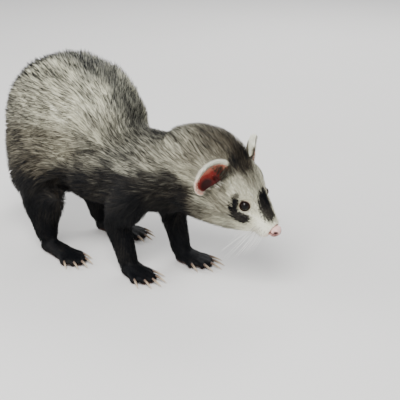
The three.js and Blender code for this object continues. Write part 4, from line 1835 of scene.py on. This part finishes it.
@dataclass
class Tufts:
    """Tufts as arrays.

    Attributes:
        start: Their roots, in metres.
        middle: What each one bends towards.
        tip: Their tips.
        across: The way each one's width lies.
        normal: The skin's normals under them.
        width: Their widths, in metres.
        tone: Shade, tips, warmth and blush.
        hair: A chance for each, whether it is a guard hair, and a chance for its line.
        uv: Their roots on the skin's unwrap.
        patch: The side of a tuft's patch there.
    """

    start: Array
    middle: Array
    tip: Array
    across: Array
    normal: Array
    width: Array
    tone: Array
    hair: Array
    uv: Array
    patch: float

    def build(self, name: str, finish: bpy.types.Material, long: Array) -> Piece:
        """Makes one coat piece from its long and its short tufts.

        Args:
            name: The piece's name.
            finish: The tufts' material.
            long: Which tufts are long and get one more bend.

        Returns:
            The piece.
        """
        parts = [self._solids(long, LONG_TAPER), self._solids(~long, SHORT_TAPER)]
        verts = np.concatenate([part[0] for part in parts])
        tris = np.concatenate([parts[0][1], parts[1][1] + len(parts[0][0])])
        made = make_mesh(name, verts, tris)
        add_channels(made, "tone", np.concatenate([part[2] for part in parts]))
        add_channels(made, "hair", np.concatenate([part[3] for part in parts]))
        below = np.concatenate(
            [
                np.repeat(self.normal[long], LONG_TAPER.points, axis=0),
                np.repeat(self.normal[~long], SHORT_TAPER.points, axis=0),
            ]
        )
        shading = unit(0.5 * vertex_normals(verts, tris) + 0.8 * below)
        made.data.normals_split_custom_set_from_vertices(shading)
        layer = made.data.uv_layers.new(name="OFBake")
        uv = np.concatenate([part[4] for part in parts])[tris.ravel()]
        layer.data.foreach_set("uv", uv.astype(np.float32).ravel())
        dress(made, finish)
        return made

    def _solids(self, chosen: Array, taper: Taper) -> tuple[Array, ...]:
        """Makes closed three-sided tufts that taper to a point.

        Args:
            chosen: Which tufts.
            taper: Their kind.

        Returns:
            Vertices, triangles, and the tone, hair and map of each vertex.
        """
        start, middle, tip = self.start[chosen], self.middle[chosen], self.tip[chosen]
        across, normal, width = self.across[chosen], self.normal[chosen], self.width[chosen]
        count = len(start)
        rings = len(taper.along)
        block = taper.points
        verts = np.empty((count, block, 3))
        places = np.empty((count, block))
        uv = np.empty((count, block, 2))
        corner_angles = np.radians([90.0, 210.0, 330.0])
        for ring, (share, size) in enumerate(zip(taper.along, taper.girth)):
            centre = (1 - share) ** 2 * start + 2 * share * (1 - share) * middle + share**2 * tip
            for corner, angle in enumerate(corner_angles):
                side = across * math.cos(angle) + normal * (0.55 * math.sin(angle))
                verts[:, ring * 3 + corner] = centre + side * (0.5 * size * width)[:, None]
                uv[:, ring * 3 + corner, 0] = (corner - 1) * 0.5 * self.patch
                uv[:, ring * 3 + corner, 1] = (share - 0.5) * self.patch
            places[:, ring * 3 : ring * 3 + 3] = share
        verts[:, -1] = tip
        places[:, -1] = 1.0
        uv[:, -1] = (0.0, 0.5 * self.patch)
        uv += self.uv[chosen][:, None, :]
        pattern = [(0, 2, 1)]
        for ring in range(rings - 1):
            low = ring * 3
            for corner in range(3):
                after = (corner + 1) % 3
                pattern.append((low + corner, low + after, low + 3 + after))
                pattern.append((low + corner, low + 3 + after, low + 3 + corner))
        last = (rings - 1) * 3
        pattern += [(last + corner, last + (corner + 1) % 3, block - 1) for corner in range(3)]
        tris = (np.array(pattern)[None] + (np.arange(count) * block)[:, None, None]).reshape(-1, 3)
        tone = np.repeat(self.tone[chosen], block, axis=0)
        strand = np.repeat(self.hair[chosen], block, axis=0)
        hair = np.column_stack([places.ravel(), strand])
        verts[:, :, 2] = np.maximum(verts[:, :, 2], FLOOR_GAP)
        return verts.reshape(-1, 3), tris, tone, hair, np.clip(uv.reshape(-1, 2), 0.0, 1.0)


@dataclass
class Nose:
    """The nose: a damp leather pad with two comma-shaped nostrils.

    Attributes:
        head: The head's pose.
        centre: Its middle, in mm along the head's axes.
        half: Its half sizes, in mm.
        rings: How many rings it has, and how many points a ring.
    """

    head: Pose
    centre: Triple = (57.8, 0.0, -4.1)
    half: Triple = (3.9, 5.7, 4.2)
    rings: tuple[int, int] = (72, 96)

    def sink_skin(self, verts: Array) -> Array:
        """Draws the muzzle's skin back behind the pad.

        Args:
            verts: The skin's vertices, in metres.

        Returns:
            The vertices, moved.
        """
        local = self.head.local(verts)
        inside = ease(1.2, 1.0, np.linalg.norm((local - self.centre) / self.half, axis=1))
        local = local + np.array([-3.4, 0.0, -0.4]) * inside[:, None]
        return self.head.place(local)

    def build(self) -> Piece:
        """Makes the pad.

        Returns:
            The object.
        """
        ball, _, around = ball_grid(*self.rings)
        ball = np.roll(ball, 1, axis=1)
        local = ball * np.array(self.half)
        across = np.abs(local[:, 1])
        high = local[:, 2]
        ahead = ease(-0.3, 0.4, ball[:, 0])
        hole = np.hypot((across - 3.1) / 1.9, (high - 1.6) / 1.5)
        slit_line = high - 1.6 + 2.3 * np.maximum(0.7 - ball[:, 0], 0.0)
        slit = np.exp(-((slit_line / 0.95) ** 2)) * ease(2.2, 3.2, across) * ease(-0.8, -0.4, ball[:, 0])
        groove = np.exp(-((local[:, 1] / 0.32) ** 2)) * ease(0.6, -0.8, high) * ahead
        pit = ease(1.25, 0.8, hole) * ahead
        swollen = ease(1.9, 1.15, hole) * (1.0 - pit) * ahead
        depth = 1.5 * pit + 0.55 * slit + 0.4 * groove - 0.28 * swollen
        shaped = local * (1.0 + 0.05 * np.cos(3.0 * around))[:, None]
        shaped = shaped - unit(ball / np.array(self.half)) * depth[:, None]
        verts = self.head.place(shaped + np.array(self.centre))
        tris = without_slivers(verts, grid_triangles(*self.rings))
        outward = verts - self.head.place(np.array(self.centre))
        if (vertex_normals(verts, tris) * outward).sum() < 0.0:
            tris = tris[:, ::-1]
        made = make_mesh("nose_pad", verts, tris)
        # Painted shade in the nostrils, their slits and the groove down the pad, and a darker lower front of
        # the pad.
        under = ease(1.3, 0.1, high) * ease(-0.5, 0.5, ball[:, 0]) * 0.72
        dark = np.clip(np.max([pit, slit, 0.6 * groove, under], axis=0), 0.0, 1.0)
        none = np.zeros(len(verts))
        add_channels(made, "pad", np.column_stack([dark, ease(0.2, 2.6, high), none, none]))
        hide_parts("nose")
        dress(made, NoseFinish().material())
        return made


@dataclass
class Claws:
    """All the claws, as curved horns in the places of the model's.

    Attributes:
        sides: How many points a claw's ring has.
        rings: How many rings a claw has.
    """

    sides: int = 14
    rings: int = 12

    def build(self) -> Piece:
        """Makes the claws as one object.

        Returns:
            The object.
        """
        horns = Bundle()
        names = [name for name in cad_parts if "_claw_" in name]
        for name in names:
            paw = node_centre(name.split("_claw_")[0] + "_paw")
            horn, share = self._horn(node_arrays(name)[0], paw)
            horns.add(horn, grid_triangles(self.rings, self.sides), share)
        made = horns.make("claws", "claw")
        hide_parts(*names)
        dress(made, ClawFinish().material())
        return made

    def _horn(self, points: Array, paw: Array) -> tuple[Array, Array]:
        """Makes one claw along the line of its solid.

        Args:
            points: The solid's vertices, in metres.
            paw: The middle of its paw.

        Returns:
            The claw's vertices, and how far along it each one is.
        """
        middle = points.mean(axis=0)
        axis = np.linalg.svd(points - middle)[2][0]
        ahead = middle - paw
        ahead[2] = 0.0
        if axis @ ahead < 0.0:
            axis = -axis
        reach = (points - middle) @ axis
        base = points[reach <= np.quantile(reach, 0.3)].mean(axis=0)
        tip = points[np.argmax(reach)]
        spread = np.linalg.norm(points - middle - reach[:, None] * axis, axis=1)
        radius = float(np.quantile(spread, 0.85))
        side = unit(np.cross(axis, [0.0, 0.0, 1.0]))
        over = np.cross(side, axis)
        base = base - axis * radius * 0.6
        bow = (base + tip) / 2.0 + over * radius * 0.7
        verts = []
        share = np.linspace(0.0, 1.0, self.rings)
        angle = turns(self.sides)
        for along in share:
            centre = (1 - along) ** 2 * base + 2 * along * (1 - along) * bow + along**2 * tip
            size = radius * (1.0 - along**1.6) ** 0.8 + 1e-5
            ring = side * (np.cos(angle) * 0.8)[:, None] + over * np.sin(angle)[:, None]
            verts.append(centre + ring * size)
        return np.concatenate(verts), np.repeat(share, self.sides)


@dataclass
class Whiskers:
    """The whiskers of the muzzle, brows and cheeks.

    Attributes:
        head: The head's pose.
        radius: A whisker's radius at its root, in mm.
        rings: How many rings it has.
        sides: How many points a ring has.
        aside: A direction that no whisker has, from which its rings are set out.
        sunk: How far its root lies under the skin, in mm.
    """

    head: Pose
    radius: float = 0.17
    rings: int = 12
    sides: int = 5
    aside: Triple = (0.31, 0.22, 0.92)
    sunk: float = 0.4

    def build(self, skin: BVHTree) -> Piece:
        """Makes the whiskers as one object.

        Args:
            skin: The skin that they stand on.

        Returns:
            The object.
        """
        rng = np.random.default_rng(SEED + 1)
        hairs = Bundle()
        for side in (-1.0, 1.0):
            for row in range(4):
                for step in range(5):
                    root = (53.0 - 2.3 * step - 0.5 * row, 12.0, -4.6 - 1.9 * row)
                    out = (0.42 - 0.12 * step, 0.8, -0.15 - 0.2 * row)
                    size = 19.0 + 3.6 * step + rng.uniform(-2.0, 2.0)
                    self._add(hairs, skin, root, out, size, side, rng)
            for step in range(3):
                self._add(hairs, skin, (27.0 + 1.4 * step, 10.0, 14.0), (-0.2, 0.3, 0.9), 13.0, side, rng)
            for step in range(2):
                root = (20.0 + 2.0 * step, 22.0, -8.0 - 1.5 * step)
                self._add(hairs, skin, root, (-0.3, 0.9, -0.4), 17.0, side, rng)
        made = hairs.make("whiskers", "whisker")
        dress(made, WhiskerFinish().material())
        return made

    def _add(
        self,
        hairs: Bundle,
        skin: BVHTree,
        root: Triple,
        out: Triple,
        size: float,
        side: float,
        rng: np.random.Generator,
    ) -> None:
        """Adds one whisker that leaves the skin and bends down and back.

        Args:
            hairs: Gathers the whiskers.
            skin: The skin that it stands on.
            root: A point outside the skin, in mm along the head's axes, for the left side.
            out: The way it leaves, along the head's axes, for the left side.
            size: Its length, in mm.
            side: The sign of its side.
            rng: The source of chance.
        """
        inward = self.head.turn(unit(np.array([0.0, -side, -0.15 if root[2] < 10.0 else -3.0])))
        hit = struck(skin, self.head.place(mirrored(root, side)), inward)
        if hit is None:
            return
        start = hit + inward * self.sunk * MM
        leave = unit(self.head.turn(mirrored(out, side)) + rng.normal(0.0, 0.07, 3))
        droop = self.head.turn(mirrored((-0.25, 0.2, -0.6), side)) + np.array([0.0, 0.0, -0.3])
        bend = start + leave * size * 0.5 * MM
        end = start + (leave * 0.82 + unit(droop) * 0.42) * size * MM
        share = np.linspace(0.0, 1.0, self.rings)
        points = np.array([(1 - a) ** 2 * start + 2 * a * (1 - a) * bend + a**2 * end for a in share])
        flow = unit(np.gradient(points, axis=0))
        side_axis = unit(np.cross(flow, self.aside))
        over = np.cross(flow, side_axis)
        angle = turns(self.sides)
        rings = []
        for centre, first, second, along in zip(points, side_axis, over, share):
            thick = self.radius * MM * (1.0 - 0.88 * along)
            rings.append(centre + (first * np.cos(angle)[:, None] + second * np.sin(angle)[:, None]) * thick)
        tris = grid_triangles(self.rings, self.sides)
        hairs.add(np.concatenate(rings), tris, np.repeat(share, self.sides))


@dataclass
class Studio:
    """The pale floor, the soft light and the camera at the photograph's angle.

    Attributes:
        target: The point in the middle of the frame, in metres.
        azimuth: The camera's turn from straight in front, in degrees.
        elevation: Its height above the horizon, in degrees.
        distance: Its distance from the target, in metres.
        lens: Its focal length, in mm.
    """

    target: Triple = (0.10702, -0.03526, 0.07758)
    azimuth: float = 40.0
    elevation: float = 20.0
    distance: float = 0.85
    lens: float = 102.0

    def camera(self) -> None:
        """Places the camera."""
        turn = math.radians(self.azimuth)
        rise = math.radians(self.elevation)
        back = Vector((math.sin(turn) * math.cos(rise), -math.cos(turn) * math.cos(rise), math.sin(rise)))
        right = Vector((math.cos(turn), math.sin(turn), 0.0))
        over = back.cross(right)
        data = bpy.data.cameras.new("camera")
        data.lens = self.lens
        data.sensor_width = 36.0
        data.clip_start = 0.01
        made = bpy.data.objects.new("camera", data)
        made.matrix_world = Matrix.Translation(Vector(self.target) + back * self.distance) @ Matrix(
            (right, over, back)
        ).transposed().to_4x4()
        bpy.context.scene.collection.objects.link(made)
        bpy.context.scene.camera = made

    def floor(self) -> None:
        """Lays a pale floor that isn't part of the animal."""
        size = 6.0
        verts = np.array([(-size, -size, 0.0), (size, -size, 0.0), (size, size, 0.0), (-size, size, 0.0)])
        made = make_mesh("floor", verts, np.array([(0, 1, 2), (0, 2, 3)]))
        board = Board("pale_floor")
        mottle = board.noise(3.0, 3.0)
        base = board.mix(mottle, linear(226, 224, 220), linear(236, 234, 231))
        made.data.materials.append(board.surface(base, 0.8))

    def lights(self) -> None:
        """Sets a large key light, a fill, a back light and a pale surround."""
        middle = Vector((0.05, -0.02, 0.08))
        for name, place, size, power in (
            ("key", (0.45, -0.75, 0.95), 0.6, 20.0),
            ("fill", (-0.8, -0.7, 0.5), 0.9, 7.0),
            ("back", (-0.3, 0.9, 0.8), 0.8, 9.0),
        ):
            data = bpy.data.lights.new(name, "AREA")
            data.size = size
            data.energy = power
            made = bpy.data.objects.new(name, data)
            made.location = place
            made.rotation_euler = (middle - Vector(place)).to_track_quat("-Z", "Y").to_euler()
            bpy.context.scene.collection.objects.link(made)
        world = bpy.data.worlds.new("surround")
        world.use_nodes = True
        sky = world.node_tree.nodes["Background"]
        sky.inputs[0].default_value = linear(238, 240, 244)
        sky.inputs[1].default_value = 0.8
        bpy.context.scene.world = world


def main() -> None:
    """Builds the animal and its setting, and reports each piece."""
    logging.basicConfig(level=logging.INFO, format="%(message)s")
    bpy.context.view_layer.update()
    studio = Studio()
    studio.camera()
    studio.floor()
    studio.lights()
    head = Pose.of_head()
    markings = Markings(head)
    eyes = [Eye(side, head) for side in Side]
    ears = [EarCup(side, head) for side in Side]
    for eye in eyes:
        log.info("%s", eye.ball().name)
    nose = Nose(head)
    skin = Skin(markings, eyes, ears, nose)
    pelt = skin.build()
    skin_piece = skin.dress(pelt)
    log.info("skin: %d triangles", len(pelt.tris))
    layer = skin_piece.data.uv_layers["OFBake"]
    unwrap = np.empty((len(pelt.tris), 3, 2))
    layer.data.foreach_get("uv", unwrap.ravel())
    total = len(pelt.tris)
    coat = Coat(density=Coat.density)
    for piece in coat.grow(pelt, unwrap):
        total += len(piece.data.polygons)
        log.info("%s: %d triangles", piece.name, len(piece.data.polygons))
    log.info("%s", nose.build().name)
    log.info("%s", Claws().build().name)
    surface = BVHTree.FromPolygons(pelt.verts.tolist(), pelt.tris.tolist())
    log.info("%s", Whiskers(head).build(surface).name)
    log.info("skin and coat: %d triangles", total)


if __name__ == "__main__":
    main()
